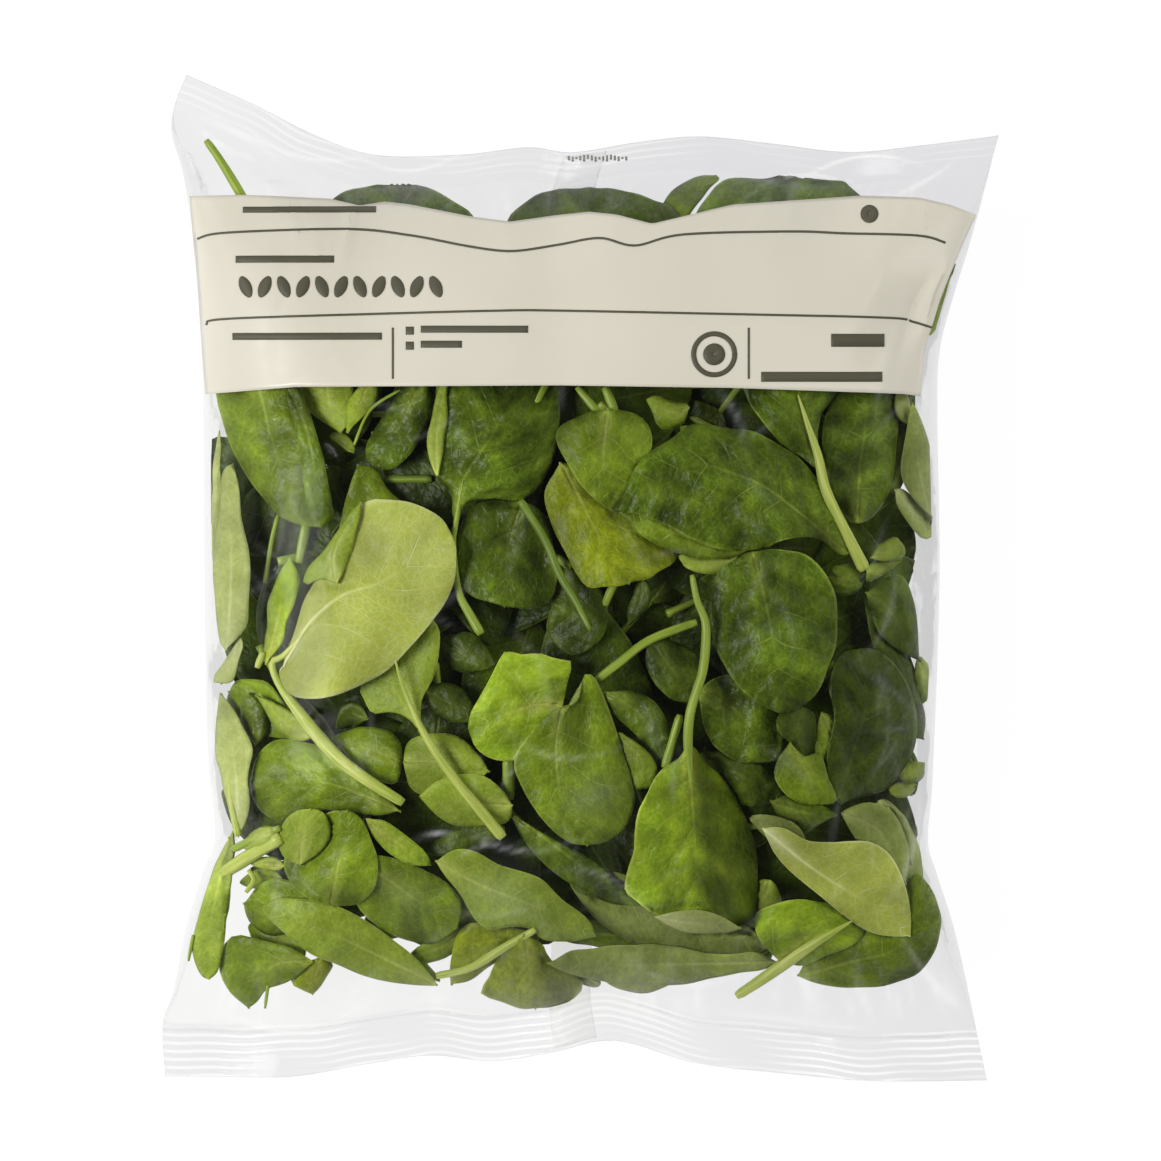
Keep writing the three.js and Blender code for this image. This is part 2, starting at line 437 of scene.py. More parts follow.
class Heap:
    """Closed shapes gathered into one mesh, with values kept on their points."""

    def __init__(self):
        self.points, self.quads, self.values, self.count = [], [], {}, 0

    def add(self, points, quads, **values):
        """Add one closed shape."""
        self.points.append(points)
        self.quads.append(quads + self.count)
        for name, value in values.items():
            self.values.setdefault(name, []).append(value)
        self.count += len(points)

    def build(self, name, material, body="root"):
        """Make the piece, in metres and round the same middle as the solid."""
        points = (np.vstack(self.points) - MIDDLE) * MM
        quads = np.vstack(self.quads)
        mesh = bpy.data.meshes.new(name)
        mesh.vertices.add(len(points))
        mesh.vertices.foreach_set("co", points.astype(np.float32).ravel())
        mesh.loops.add(quads.size)
        mesh.loops.foreach_set("vertex_index", quads.astype(np.int32).ravel())
        mesh.polygons.add(len(quads))
        mesh.polygons.foreach_set("loop_start", np.arange(0, quads.size, 4, dtype=np.int32))
        mesh.polygons.foreach_set("use_smooth", np.ones(len(quads), bool))
        mesh.update(calc_edges=True)
        mesh.validate()
        for label, parts in self.values.items():
            field = mesh.attributes.new(label, "FLOAT_VECTOR", "POINT")
            field.data.foreach_set("vector", np.vstack(parts).astype(np.float32).ravel())
        mesh.materials.append(material)
        made = bpy.data.objects.new(name, mesh)
        bpy.context.collection.objects.link(made)
        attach(made, body)
        return made


def grid_normals(points):
    """Unit normals of a grid of points, rows by columns, up where columns run to the right."""
    down = np.gradient(points, axis=0)
    over = np.gradient(points, axis=1)
    normals = np.cross(over, down)
    return normals / np.maximum(np.linalg.norm(normals, axis=-1, keepdims=True), 1e-9)


def sheet_solid(points, thickness):
    """A thin closed solid under a grid of points: its points and quads."""
    rows, columns = points.shape[:2]
    thick = np.asarray(thickness)[..., None] if np.ndim(thickness) else thickness
    under = points - grid_normals(points) * thick
    number = np.arange(rows * columns).reshape(rows, columns)
    lower = number + rows * columns
    a, b, c, d = number[:-1, :-1], number[:-1, 1:], number[1:, 1:], number[1:, :-1]
    e, f, g, h = lower[:-1, :-1], lower[:-1, 1:], lower[1:, 1:], lower[1:, :-1]
    quads = [np.stack([a, b, c, d], -1).reshape(-1, 4), np.stack([e, h, g, f], -1).reshape(-1, 4)]
    around = np.concatenate([number[0, :-1], number[:-1, -1], number[-1, :0:-1], number[:0:-1, 0]])
    after = np.roll(around, -1)
    quads.append(np.stack([after, around, around + rows * columns, after + rows * columns], -1))
    return np.vstack([points.reshape(-1, 3), under.reshape(-1, 3)]), np.vstack(quads)


def tube_solid(path, radii, flatness, sides):
    """A closed round bar along a path of points, pressed flat by a share: its points and quads."""
    ahead = np.gradient(path, axis=0)
    ahead /= np.linalg.norm(ahead, axis=1, keepdims=True)
    across = np.cross(ahead, [0, 0, 1.0])
    across /= np.maximum(np.linalg.norm(across, axis=1, keepdims=True), 1e-9)
    up = np.cross(across, ahead)
    turn = np.linspace(0, 2 * np.pi, sides, endpoint=False)
    sideways = across[:, None] * np.cos(turn)[:, None]
    upright = up[:, None] * (np.sin(turn) * flatness)[:, None]
    points = path[:, None] + (sideways + upright) * np.asarray(radii)[:, None, None]
    number = np.arange(len(path) * sides).reshape(len(path), sides)
    following = np.roll(number, -1, axis=1)
    walls = np.stack([number[:-1], following[:-1], following[1:], number[1:]], -1).reshape(-1, 4)
    caps = []
    for row, flipped in ((number[0], True), (number[-1], False)):
        for i in range(sides // 2 - 1):
            quad = [row[i], row[i + 1], row[sides - 2 - i], row[sides - 1 - i]]
            caps.append(quad[::-1] if flipped else quad)
    return points.reshape(-1, 3), np.vstack([walls, caps])


# Materials

def linear(hex_colour):
    """An sRGB hex colour as linear red, green, blue and alpha."""
    channels = [int(hex_colour[i:i + 2], 16) / 255 for i in (1, 3, 5)]
    return tuple(c / 12.92 if c <= 0.04045 else ((c + 0.055) / 1.055) ** 2.4 for c in channels) + (1.0,)


def node(tree, kind, values=None, **settings):
    """A new shader node with its settings, and its inputs set to values or linked to sockets or nodes."""
    made = tree.nodes.new("ShaderNode" + kind)
    for name, value in settings.items():
        setattr(made, name, value)
    for socket, value in (values or {}).items():
        if isinstance(value, bpy.types.Node):
            value = value.outputs[0]
        if isinstance(value, bpy.types.NodeSocket):
            tree.links.new(value, made.inputs[socket])
        else:
            made.inputs[socket].default_value = value
    return made


def new_material(name):
    """A material without nodes, and its node tree."""
    material = bpy.data.materials.new(name)
    material.use_nodes = True
    material.node_tree.nodes.clear()
    return material, material.node_tree


PAINTED_SHADE_ACROSS = (-110, 110)  # painted shade: mm from the middle of the bag, from the lit side of the film to its shaded side
PAINTED_SHADE_UP = (60, 125)  # painted shade: mm from the middle of the bag, up to the top seal


def clear_film():
    """Oriented polypropylene film, cast and stretched: clear and glossy, with painted glints drawn white
    along its creases and crimp ridges.

    It dulls what is behind it a little in the seals, and with painted shade towards the right and towards the
    top.
    """
    material, tree = new_material("clear polypropylene film")
    spot = node(tree, "TexCoord").outputs["Object"]
    marks = node(tree, "Attribute", attribute_name="marks").outputs["Vector"]
    # Painted glints on the crimp ridges and along the creases, and where the seals are
    crimped, crease_glint, sealed = node(tree, "SeparateXYZ", {0: marks}).outputs
    ripple = node(tree, "TexNoise", {"Vector": spot, "Scale": 1 / (14 * MM), "Detail": 2.0})
    crinkle = node(tree, "TexNoise", {"Vector": spot, "Scale": 1 / (3.5 * MM), "Detail": 1.0})
    rippled = node(tree, "Bump", {"Height": ripple.outputs["Fac"], "Distance": 1.4 * MM, "Strength": 0.5})
    crinkled = node(tree, "Bump", {
        "Height": crinkle.outputs["Fac"], "Distance": 0.25 * MM, "Strength": 0.4, "Normal": rippled,
    })
    gloss = node(tree, "BsdfGlossy", {"Color": linear("#FFFFFF"), "Roughness": 0.09, "Normal": crinkled})
    haze = node(tree, "BsdfDiffuse", {"Color": linear("#F4F5F6")})
    place_on_bag = node(tree, "SeparateXYZ", {0: spot})
    # Painted shade: the film is drawn greyer towards the right and towards the top, where less light falls on
    # it
    shaded_side = node(tree, "MapRange", {
        "Value": place_on_bag.outputs[0], "To Min": 0.25, "To Max": 0.85,
        "From Min": PAINTED_SHADE_ACROSS[0] * MM, "From Max": PAINTED_SHADE_ACROSS[1] * MM,
    })
    shaded_top = node(tree, "MapRange", {
        "Value": place_on_bag.outputs[1], "To Min": 0.0, "To Max": 0.35,
        "From Min": PAINTED_SHADE_UP[0] * MM, "From Max": PAINTED_SHADE_UP[1] * MM,
    })
    shaded = node(tree, "Math", {0: shaded_side, 1: shaded_top})
    sealed_shade = node(tree, "Math", {0: sealed, 1: 0.6}, operation="MULTIPLY")
    painted_shade_and_seal_dulling = node(tree, "Math", {0: shaded, 1: sealed_shade}, operation="MAXIMUM")
    # Painted glints: the crimp ridges and the creases are kept clear of that grey
    dulling_off_ridge_glints = node(tree, "Math", {0: painted_shade_and_seal_dulling, 1: crimped}, operation="SUBTRACT")
    crease_glint_share = node(tree, "Math", {0: crease_glint, 1: 5.0}, operation="MULTIPLY")
    dull = node(tree, "Math", {0: dulling_off_ridge_glints, 1: crease_glint_share}, operation="SUBTRACT", use_clamp=True)
    # The film's own faint tint, greyed by the painted shade and in the seals
    tint_with_painted_shade = node(tree, "Mix", {0: dull, 6: linear("#FDFDFC"), 7: linear("#EFEFF0")}, data_type="RGBA")
    clear = node(tree, "BsdfTransparent", {"Color": tint_with_painted_shade.outputs[2]})
    fresnel = node(tree, "Fresnel", {"IOR": 1.45, "Normal": crinkled})
    held = node(tree, "MapRange", {
        "Value": fresnel, "From Min": 0.034, "From Max": 0.6, "To Min": 0.003, "To Max": 0.25,
    })
    # Painted glints: a white haze over the creases and the crimp ridges
    ridges = node(tree, "Math", {0: crimped, 1: 0.15}, operation="MULTIPLY")
    painted_glint_share = node(tree, "Math", {0: crease_glint, 1: ridges}, operation="MAXIMUM")
    painted_glint_haze = node(tree, "MapRange", {"Value": painted_glint_share, "To Min": 0.002, "To Max": 0.5})
    clear_with_painted_glints = node(tree, "MixShader", {0: painted_glint_haze, 1: clear, 2: haze})
    film = node(tree, "MixShader", {0: held, 1: clear_with_painted_glints, 2: gloss})
    node(tree, "OutputMaterial", {"Surface": film})
    return material


def printed_film(name, colours, rough):
    """Ink reverse-printed on glossy film: an even colour under a smooth shine."""
    material, tree = new_material(name)
    spot = node(tree, "TexCoord").outputs["Object"]
    uneven = node(tree, "TexNoise", {"Vector": spot, "Scale": 1 / (40 * MM), "Detail": 2.0})
    shade = node(tree, "Mix", {
        0: uneven.outputs["Fac"], 6: linear(colours[0]), 7: linear(colours[1]),
    }, data_type="RGBA")
    crinkle = node(tree, "TexNoise", {"Vector": spot, "Scale": 1 / (9 * MM), "Detail": 1.0})
    bump = node(tree, "Bump", {"Height": crinkle.outputs["Fac"], "Distance": 0.5 * MM, "Strength": 0.35})
    surface = node(tree, "BsdfPrincipled", {
        "Base Color": shade.outputs[2], "Roughness": rough, "IOR": 1.5, "Normal": bump,
    })
    node(tree, "OutputMaterial", {"Surface": surface})
    return material


# hollow: how strongly a leaf's hollows get painted shade and its crests a painted highlight, and how strong
# its painted clouds are
LeafFinish = namedtuple("LeafFinish", "blade blotch vein under rough pucker hollow speckle")
# Sizes of a leaf's patterns, in mm: the net of its finest veins, its blotches, its clouds of painted light
# and shade, grain and puckers
NET_SIZE = 2.4
BLOTCH_SIZE, PAINTED_CLOUD_SIZE, GRAIN_SIZE, PUCKER_SIZE = 8, 19, 1.1, 5


def spinach_leaf(name, finish):
    """Spinach leaf, grown: waxy skin over green flesh, with paler veins sunk in it and a dull underside.

    It has painted light and shade: darker hollows, lighter crests, broad clouds, a darker half where it falls
    away and a bright rim.
    """
    material, tree = new_material(name)
    (order, across, along), (share, shade, edge), (under, raised, painted_away_share) = (
        node(tree, "SeparateXYZ", {0: node(tree, "Attribute", attribute_name=kept).outputs["Vector"]}).outputs
        for kept in ("veins", "run", "under")
    )
    spot = node(tree, "CombineXYZ", {0: across, 1: along, 2: shade})
    blotches = node(tree, "TexNoise", {
        "Vector": spot, "Scale": 1 / BLOTCH_SIZE, "Detail": 5.0, "Roughness": 0.62,
    })
    net = node(tree, "TexVoronoi", {"Vector": spot, "Scale": 1 / NET_SIZE}, feature="DISTANCE_TO_EDGE")
    net_line = node(tree, "MapRange", {
        "Value": net.outputs["Distance"], "From Min": 0.0, "From Max": 0.1, "To Min": 0.16, "To Max": 0.0,
    })
    off_middle = node(tree, "Math", {0: across}, operation="ABSOLUTE")
    midrib = node(tree, "MapRange", {
        "Value": off_middle, "From Min": 0.15, "From Max": 0.75, "To Min": 1.0, "To Max": 0.0,
    }, interpolation_type="SMOOTHSTEP")
    thinning = node(tree, "MapRange", {
        "Value": share, "From Min": 0.05, "From Max": 0.75, "To Min": 0.85, "To Max": 0.0,
    })
    midrib_line = node(tree, "Math", {0: midrib, 1: thinning}, operation="MULTIPLY")
    turned = node(tree, "Math", {0: order, 1: math.pi}, operation="MULTIPLY")
    wave = node(tree, "Math", {0: turned}, operation="SINE")
    from_vein = node(tree, "Math", {0: wave}, operation="ABSOLUTE")
    side_vein = node(tree, "MapRange", {
        "Value": from_vein, "From Min": 0.02, "From Max": 0.15, "To Min": 0.55, "To Max": 0.0,
    }, interpolation_type="SMOOTHSTEP")
    fading = node(tree, "MapRange", {
        "Value": edge, "From Min": 0.2, "From Max": 0.9, "To Min": 1.0, "To Max": 0.15,
    })
    broken = node(tree, "MapRange", {
        "Value": blotches.outputs["Fac"], "From Min": 0.38, "From Max": 0.6, "To Min": 0.1, "To Max": 1.0,
    })
    faint = node(tree, "Math", {0: fading, 1: broken}, operation="MULTIPLY")
    side_line = node(tree, "Math", {0: side_vein, 1: faint}, operation="MULTIPLY")
    line = node(tree, "Math", {0: midrib_line, 1: side_line}, operation="MAXIMUM")
    lines = node(tree, "Math", {0: line, 1: net_line}, operation="MAXIMUM")
    blotched = node(tree, "MapRange", {
        "Value": blotches.outputs["Fac"], "From Min": 0.36, "From Max": 0.64,
    })
    blade = node(tree, "Mix", {
        0: blotched, 6: linear(finish.blade), 7: linear(finish.blotch),
    }, data_type="RGBA")
    half_blotched = node(tree, "Math", {0: blotched, 1: 0.3}, operation="MULTIPLY")
    dull_side = node(tree, "Mix", {
        0: half_blotched, 6: linear(finish.under), 7: linear(finish.blotch),
    }, data_type="RGBA")
    turned_over = node(tree, "Mix", {
        0: under, 6: blade.outputs[2], 7: dull_side.outputs[2],
    }, data_type="RGBA")
    veined = node(tree, "Mix", {
        0: lines, 6: turned_over.outputs[2], 7: linear(finish.vein),
    }, data_type="RGBA")
    near_base = node(tree, "MapRange", {
        "Value": along, "From Min": 1.0, "From Max": 22.0, "To Min": 0.75, "To Max": 0.0,
    }, interpolation_type="SMOOTHSTEP")
    inner = node(tree, "MapRange", {
        "Value": off_middle, "From Min": 0.0, "From Max": 4.0, "To Min": 1.0, "To Max": 0.0,
    }, interpolation_type="SMOOTHSTEP")
    flare = node(tree, "Math", {0: near_base, 1: inner}, operation="MULTIPLY")
    flared = node(tree, "Mix", {0: flare, 6: veined.outputs[2], 7: linear(finish.vein)}, data_type="RGBA")
    # Painted highlight: a thin bright rim along the margin
    rim = node(tree, "MapRange", {
        "Value": edge, "From Min": 0.95, "From Max": 1.0, "To Min": 0.0, "To Max": 0.6,
    })
    with_painted_rim = node(tree, "Mix", {0: rim, 6: flared.outputs[2], 7: linear(finish.vein)}, data_type="RGBA")
    leaf_tone = node(tree, "MapRange", {"Value": shade, "To Min": 0.8, "To Max": 1.2})
    # Painted shade in the hollows and a painted highlight on the crests, by the leaf's relief
    painted_relief_shading = node(tree, "MapRange", {
        "Value": raised, "To Min": 1 - finish.hollow, "To Max": 1 + finish.hollow,
    })
    brightness = node(tree, "Math", {0: leaf_tone, 1: painted_relief_shading}, operation="MULTIPLY")
    # Painted shade: a half that falls away from the light is drawn darker
    painted_away_shade = node(tree, "MapRange", {"Value": painted_away_share, "To Min": 1.0, "To Max": 0.5})
    with_painted_away_shade = node(tree, "Math", {0: brightness, 1: painted_away_shade}, operation="MULTIPLY")
    # Painted light and shade: broad clouds that lighten and darken the leaf
    painted_shade_clouds = node(tree, "TexNoise", {"Vector": spot, "Scale": 1 / PAINTED_CLOUD_SIZE, "Detail": 1.0})
    with_painted_clouds = node(tree, "MapRange", {
        "Value": painted_shade_clouds.outputs["Fac"], "From Min": 0.36, "From Max": 0.64,
        "To Min": 1 - 0.5 * finish.hollow, "To Max": 1 + 0.5 * finish.hollow,
    })
    shaded = node(tree, "Math", {0: with_painted_away_shade, 1: with_painted_clouds}, operation="MULTIPLY")
    grain = node(tree, "TexNoise", {"Vector": spot, "Scale": 1 / GRAIN_SIZE, "Detail": 3.0})
    speckled = node(tree, "MapRange", {
        "Value": grain.outputs["Fac"], "From Min": 0.3, "From Max": 0.7,
        "To Min": 1 - finish.speckle, "To Max": 1 + finish.speckle,
    })
    value = node(tree, "Math", {0: shaded, 1: speckled}, operation="MULTIPLY")
    toned = node(tree, "HueSaturation", {"Value": value, "Color": with_painted_rim.outputs[2]})
    sunk = node(tree, "Bump", {"Height": lines, "Distance": -0.35 * MM, "Strength": 0.8})
    grained = node(tree, "Bump", {
        "Height": grain.outputs["Fac"], "Distance": 0.3 * MM, "Strength": 0.6, "Normal": sunk,
    })
    puckers = node(tree, "TexNoise", {"Vector": spot, "Scale": 1 / PUCKER_SIZE, "Detail": 2.0})
    puckered = node(tree, "Bump", {
        "Height": puckers.outputs["Fac"], "Distance": 2.6 * MM, "Strength": finish.pucker,
        "Normal": grained,
    })
    surface = node(tree, "BsdfPrincipled", {
        "Base Color": toned, "Roughness": finish.rough, "IOR": 1.4, "Specular IOR Level": 0.32,
        "Normal": puckered,
    })
    node(tree, "OutputMaterial", {"Surface": surface})
    return material


def spinach_stalk(name, pale, green):
    """Spinach stalk, grown: moist ribbed skin, with darker stripes along it that are 0.8 mm apart."""
    material, tree = new_material(name)
    spot = node(tree, "Attribute", attribute_name="veins").outputs["Vector"]
    stripes = node(tree, "Mapping", {"Vector": spot, "Scale": (1.25, 0.06, 1.0)})
    streaks = node(tree, "TexNoise", {"Vector": stripes, "Scale": 1.0, "Detail": 3.0})
    streaked = node(tree, "MapRange", {"Value": streaks.outputs["Fac"], "From Min": 0.35, "From Max": 0.68})
    shade = node(tree, "Mix", {0: streaked, 6: linear(pale), 7: linear(green)}, data_type="RGBA")
    bump = node(tree, "Bump", {"Height": streaks.outputs["Fac"], "Distance": 0.3 * MM, "Strength": 0.6})
    surface = node(tree, "BsdfPrincipled", {
        "Base Color": shade.outputs[2], "Roughness": 0.38, "IOR": 1.45, "Normal": bump,
    })
    node(tree, "OutputMaterial", {"Surface": surface})
    return material


def light_table():
    """Opal acrylic sheet, cast and lit from below: an even matt white that keeps shadows pale."""
    material, tree = new_material("opal acrylic sheet")
    spot = node(tree, "TexCoord").outputs["Object"]
    grain = node(tree, "TexNoise", {"Vector": spot, "Scale": 1 / (3 * MM)})
    bump = node(tree, "Bump", {"Height": grain.outputs["Fac"], "Distance": 0.02 * MM, "Strength": 0.2})
    surface = node(tree, "BsdfPrincipled", {
        "Base Color": linear("#343434"), "Roughness": 0.7, "Normal": bump,
        "Emission Color": linear("#FFFFFF"), "Emission Strength": 0.97,
    })
    node(tree, "OutputMaterial", {"Surface": surface})
    return material


# The film

FILM_COLUMNS = 176
BODY_ROWS = 196
BOTTOM_SEAL_ROWS = 44
TOP_SEAL_ROWS = 22
SEAL_GAP = 0.36  # between the two films in a sealed strip
FIN_WIDTH = 12
FIN_ENDS = (0.004, 0.996)  # shares along the bag
FIN_LAYERS = 0.3  # thickness of the folded fin
FIN_RIDGES = (0.03, 1.6)  # height and pitch of the ridges pressed in it
FIN_SINK = 0.06  # how far its upper side lies under the back
FIN_ROWS, FIN_COLUMNS = 150, 9
MM_ACROSS = 230  # width of the bag that the fin's width is a share of


def across_shares(columns):
    """Shares across, closer together at the sides, where the film turns under."""
    share = np.linspace(0, 1, columns)
    return lerp(share, 0.5 - 0.5 * np.cos(np.pi * share), 0.8)


def along_shares():
    """Shares along, closer together in both sealed strips."""
    crimped = BOTTOM_CRIMPED / side_length
    return np.concatenate([
        np.linspace(0, crimped, BOTTOM_SEAL_ROWS, endpoint=False),
        np.linspace(crimped, SEALED_ABOVE, BODY_ROWS, endpoint=False),
        np.linspace(SEALED_ABOVE, 1, TOP_SEAL_ROWS),
    ])


def make_film():
    """The closed pouch: one skin for the front and one for the back, joined all round."""
    across, along = np.meshgrid(across_shares(FILM_COLUMNS), along_shares())
    x, y, front = front_height(across, along)
    back = film_at(across, along)[3]
    crimp, ridge_glint, sealed = crimp_relief(across, along)
    crease_glint = crease_relief(x, y)[1]
    inside = smooth(np.minimum.reduce([across, 1 - across, along, 1 - along]) * 120)
    above = np.stack([x, y, front + inside * SEAL_GAP / 2], -1)
    below = np.stack([x, y, np.maximum(back + crimp - inside * SEAL_GAP / 2, FIN_THICKNESS)], -1)
    rows, columns = across.shape
    upper = np.arange(rows * columns).reshape(rows, columns)
    lower = upper.copy()
    inner = (rows - 2) * (columns - 2)
    lower[1:-1, 1:-1] = rows * columns + np.arange(inner).reshape(rows - 2, columns - 2)
    heap = Heap()
    quads = []
    for number, flipped in ((upper, False), (lower, True)):
        corners = [number[:-1, :-1], number[:-1, 1:], number[1:, 1:], number[1:, :-1]]
        quads.append(np.stack(corners[::-1] if flipped else corners, -1).reshape(-1, 4))
    # Painted glints along the crimp ridges and the creases, and the seals, for the film's finish
    front_marks = np.stack([ridge_glint, crease_glint, sealed], -1)
    back_marks = np.stack([ridge_glint, 0 * crease_glint, sealed], -1)[1:-1, 1:-1]
    heap.add(np.vstack([above.reshape(-1, 3), below[1:-1, 1:-1].reshape(-1, 3)]), np.vstack(quads),
             marks=np.vstack([front_marks.reshape(-1, 3), back_marks.reshape(-1, 3)]))
    film = heap.build("film_pouch", clear_film())
    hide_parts("spinach_bag")


def make_back_seam():
    """The fin seal down the middle of the back, folded flat under the bag."""
    offsets = np.linspace(-FIN_WIDTH / 2, FIN_WIDTH / 2, FIN_COLUMNS)
    along, offset = np.meshgrid(np.linspace(*FIN_ENDS, FIN_ROWS), offsets, indexing="ij")
    across = 0.5 + offset / MM_ACROSS
    x, y, _, back = film_at(across, along)
    ridges = FIN_RIDGES[0] * np.sin(2 * np.pi * offset / FIN_RIDGES[1])
    height = np.maximum(back - FIN_SINK + crimp_relief(across, along)[0], FIN_THICKNESS - FIN_SINK)
    heap = Heap()
    skins, quads = sheet_solid(np.stack([x, y, height + ridges], -1), FIN_LAYERS)
    # The seam takes a full ridge glint, which keeps painted shade off it and whitens it a little
    heap.add(skins, quads, marks=np.tile((1.0, 0.0, 0.0), (len(skins), 1)))
    seam = heap.build("back_seam", clear_film())


# The print, by pixels of the photograph

BAND_TOP = (
    (193, 196), (245, 195), (330, 199), (359, 206), (385, 202), (411, 205), (472, 217), (510, 222),
    (560, 215), (589, 212), (617, 215), (652, 224), (686, 216), (732, 205), (790, 201), (861, 196),
    (919, 198), (950, 205), (976, 215),
)
BAND_BOTTOM = ((209, 394), (296, 387), (560, 385.5), (732, 388), (904, 394), (924, 397))
BAND_LEFT = ((190, 196), (206, 394))
BAND_RIGHT = ((976, 215), (960, 255), (940, 305), (932, 330), (925, 350), (920, 397))
UPPER_RULE = (
    (198, 239), (226, 233), (346, 229.5), (411, 236), (464, 246), (498, 251), (521, 251), (560, 245),
    (600, 238.5), (635, 246), (683, 235), (790, 232), (847, 234), (919, 236), (945, 243),
)
LOWER_RULE = (
    (207, 325), (226, 319), (385, 314), (500, 311), (560, 311), (761, 315), (890, 318), (913, 322),
    (931, 327.5),
)
BAND_ROWS = (196, 395)  # from the top left corner of the band to its foot
BAND_LINES, BAND_COLUMNS = 46, 170
RULE_WIDTH, RULE_STEPS = 2.2, 150
OVAL_COUNT, OVAL_PITCH, OVAL_LONG, OVAL_WIDE, OVAL_TILT = 11, 19, 25, 12, 24
FIRST_OVAL = (246, 287)
# Bars: the columns and rows of their left, top, right and bottom edges
BARS = (
    (236, 256, 334, 263), (243, 207, 376, 213), (233, 333, 382, 340), (392, 328, 394, 379),
    (406, 327, 414, 335), (406, 342, 414, 350), (421, 326, 528, 333), (421, 341, 462, 348),
    (747.6, 328, 749.6, 379), (831, 334, 884, 347), (761, 372, 882, 382),
)
# A ring, a disc inside it and a disc at the top right: middle, outer radius and inner radius
DISCS = (((714, 354.5), 23, 18), ((714, 354.5), 11, 0), ((869.5, 214.5), 9, 0))
# The short strokes on the top seal: how many, the first one's column, their pitch and width, and their rows
STROKE_COUNT, STROKES_FROM, STROKE_PITCH, STROKE_WIDE = 16, 568, 3.8, 2.2
STROKE_TOP, STROKE_FOOT, STROKE_UNEVEN = 156, 160.5, 1.2
PRINT_LIFT, PRINT_THICKNESS = 0.16, 0.06  # mm
INK_LIFT, INK_THICKNESS = 0.3, 0.08  # mm


def film_patch(pixels, lift):
    """A grid of points on the front of the film under given pixels, lifted off it."""
    x, y, height = front_height(*shares_at(*on_film(pixels)[:2]))
    points = np.stack([x, y, height + SEAL_GAP / 2], -1)
    normals = grid_normals(points)
    upright = np.where(normals[..., 2:] < 0, -1, 1)
    return points + normals * upright * lift


def row_at(edge, column):
    """The row of a named edge of the print at a column of the photograph."""
    points = np.array(edge, float)
    return np.interp(column, points[:, 0], points[:, 1])


def make_print():
    """The cream band across the front, from side to side."""
    down = np.linspace(1, 0, BAND_LINES)
    over = np.linspace(0, 1, BAND_COLUMNS)
    left_edge, right_edge = np.array(BAND_LEFT, float), np.array(BAND_RIGHT, float)
    grid = np.zeros((len(down), len(over), 2))
    for number, share in enumerate(down):
        first = np.interp(lerp(*BAND_ROWS, share), left_edge[:, 1], left_edge[:, 0])
        right_row = lerp(right_edge[0, 1], right_edge[-1, 1], share)
        last = np.interp(right_row, right_edge[:, 1], right_edge[:, 0])
        columns = lerp(first, last, over)
        grid[number, :, 0] = columns
        grid[number, :, 1] = lerp(row_at(BAND_TOP, columns), row_at(BAND_BOTTOM, columns), share)
    heap = Heap()
    heap.add(*sheet_solid(film_patch(grid, PRINT_LIFT), PRINT_THICKNESS))
    cream = printed_film("cream reverse-printed film", ("#CFCABB", "#C8C3B2"), 0.34)
    band = heap.build("printed_band", cream)


def add_ink(heap, columns, rows):
    """One printed shape, over a grid of columns and rows of the photograph."""
    grid = np.stack([columns, rows], -1)
    heap.add(*sheet_solid(film_patch(grid, INK_LIFT), INK_THICKNESS))


def ribbon(heap, centre, width):
    """A printed line: a curve through pixels, followed at a width."""
    middle = curve_through(centre)[0](np.linspace(0, 1, RULE_STEPS))
    ahead = np.gradient(middle, axis=0)
    ahead /= np.linalg.norm(ahead, axis=1, keepdims=True)
    side = np.stack([ahead[:, 1], -ahead[:, 0]], -1) * width / 2
    grid = np.stack([middle - side, middle + side], 0)
    add_ink(heap, grid[..., 0], grid[..., 1])


def bar(heap, left_edge, top_edge, right_edge, bottom_edge):
    """A printed bar between columns and rows of the photograph."""
    columns = np.linspace(left_edge, right_edge, max(4, int((right_edge - left_edge) / 4)))
    rows = np.linspace(bottom_edge, top_edge, max(3, int((bottom_edge - top_edge) / 4)))
    add_ink(heap, *np.meshgrid(columns, rows))


def disc(heap, middle, outer, inner):
    """A printed disc or ring."""
    turn = np.linspace(0, 2 * np.pi, 49)[:, None]
    radius = np.array([outer, max(inner, 0.6)])[None, :]
    add_ink(heap, middle[0] + np.cos(turn) * radius, middle[1] + np.sin(turn) * radius)


def pointed_oval(heap, middle, long, wide, angle):
    """A printed leaf shape: a plain pointed oval, tilted by an angle from upright."""
    turn = math.radians(angle)
    along = np.linspace(-1, 1, 13)[:, None]
    over = np.array([-1.0, 0.0, 1.0])[None, :] * (1 - along**2) ** 0.8 * wide / 2
    up = np.broadcast_to(along * long / 2, over.shape)
    columns = middle[0] + over * math.cos(turn) + up * math.sin(turn)
    rows = middle[1] + over * math.sin(turn) - up * math.cos(turn)
    add_ink(heap, columns, rows)


def make_ink():
    """The plain printed shapes: wavy rules, a row of ovals, bars, a ring and discs."""
    heap = Heap()
    ribbon(heap, UPPER_RULE, RULE_WIDTH)
    ribbon(heap, LOWER_RULE, RULE_WIDTH)
    for number in range(OVAL_COUNT):
        middle = (FIRST_OVAL[0] + OVAL_PITCH * number, FIRST_OVAL[1])
        pointed_oval(heap, middle, OVAL_LONG, OVAL_WIDE, OVAL_TILT if number % 2 else -OVAL_TILT)
    for edges in BARS:
        bar(heap, *edges)
    for middle, outer, inner in DISCS:
        disc(heap, middle, outer, inner)
    dark = printed_film("dark reverse-printed ink", ("#504E3C", "#484636"), 0.62)
    ink = heap.build("printed_shapes", dark)


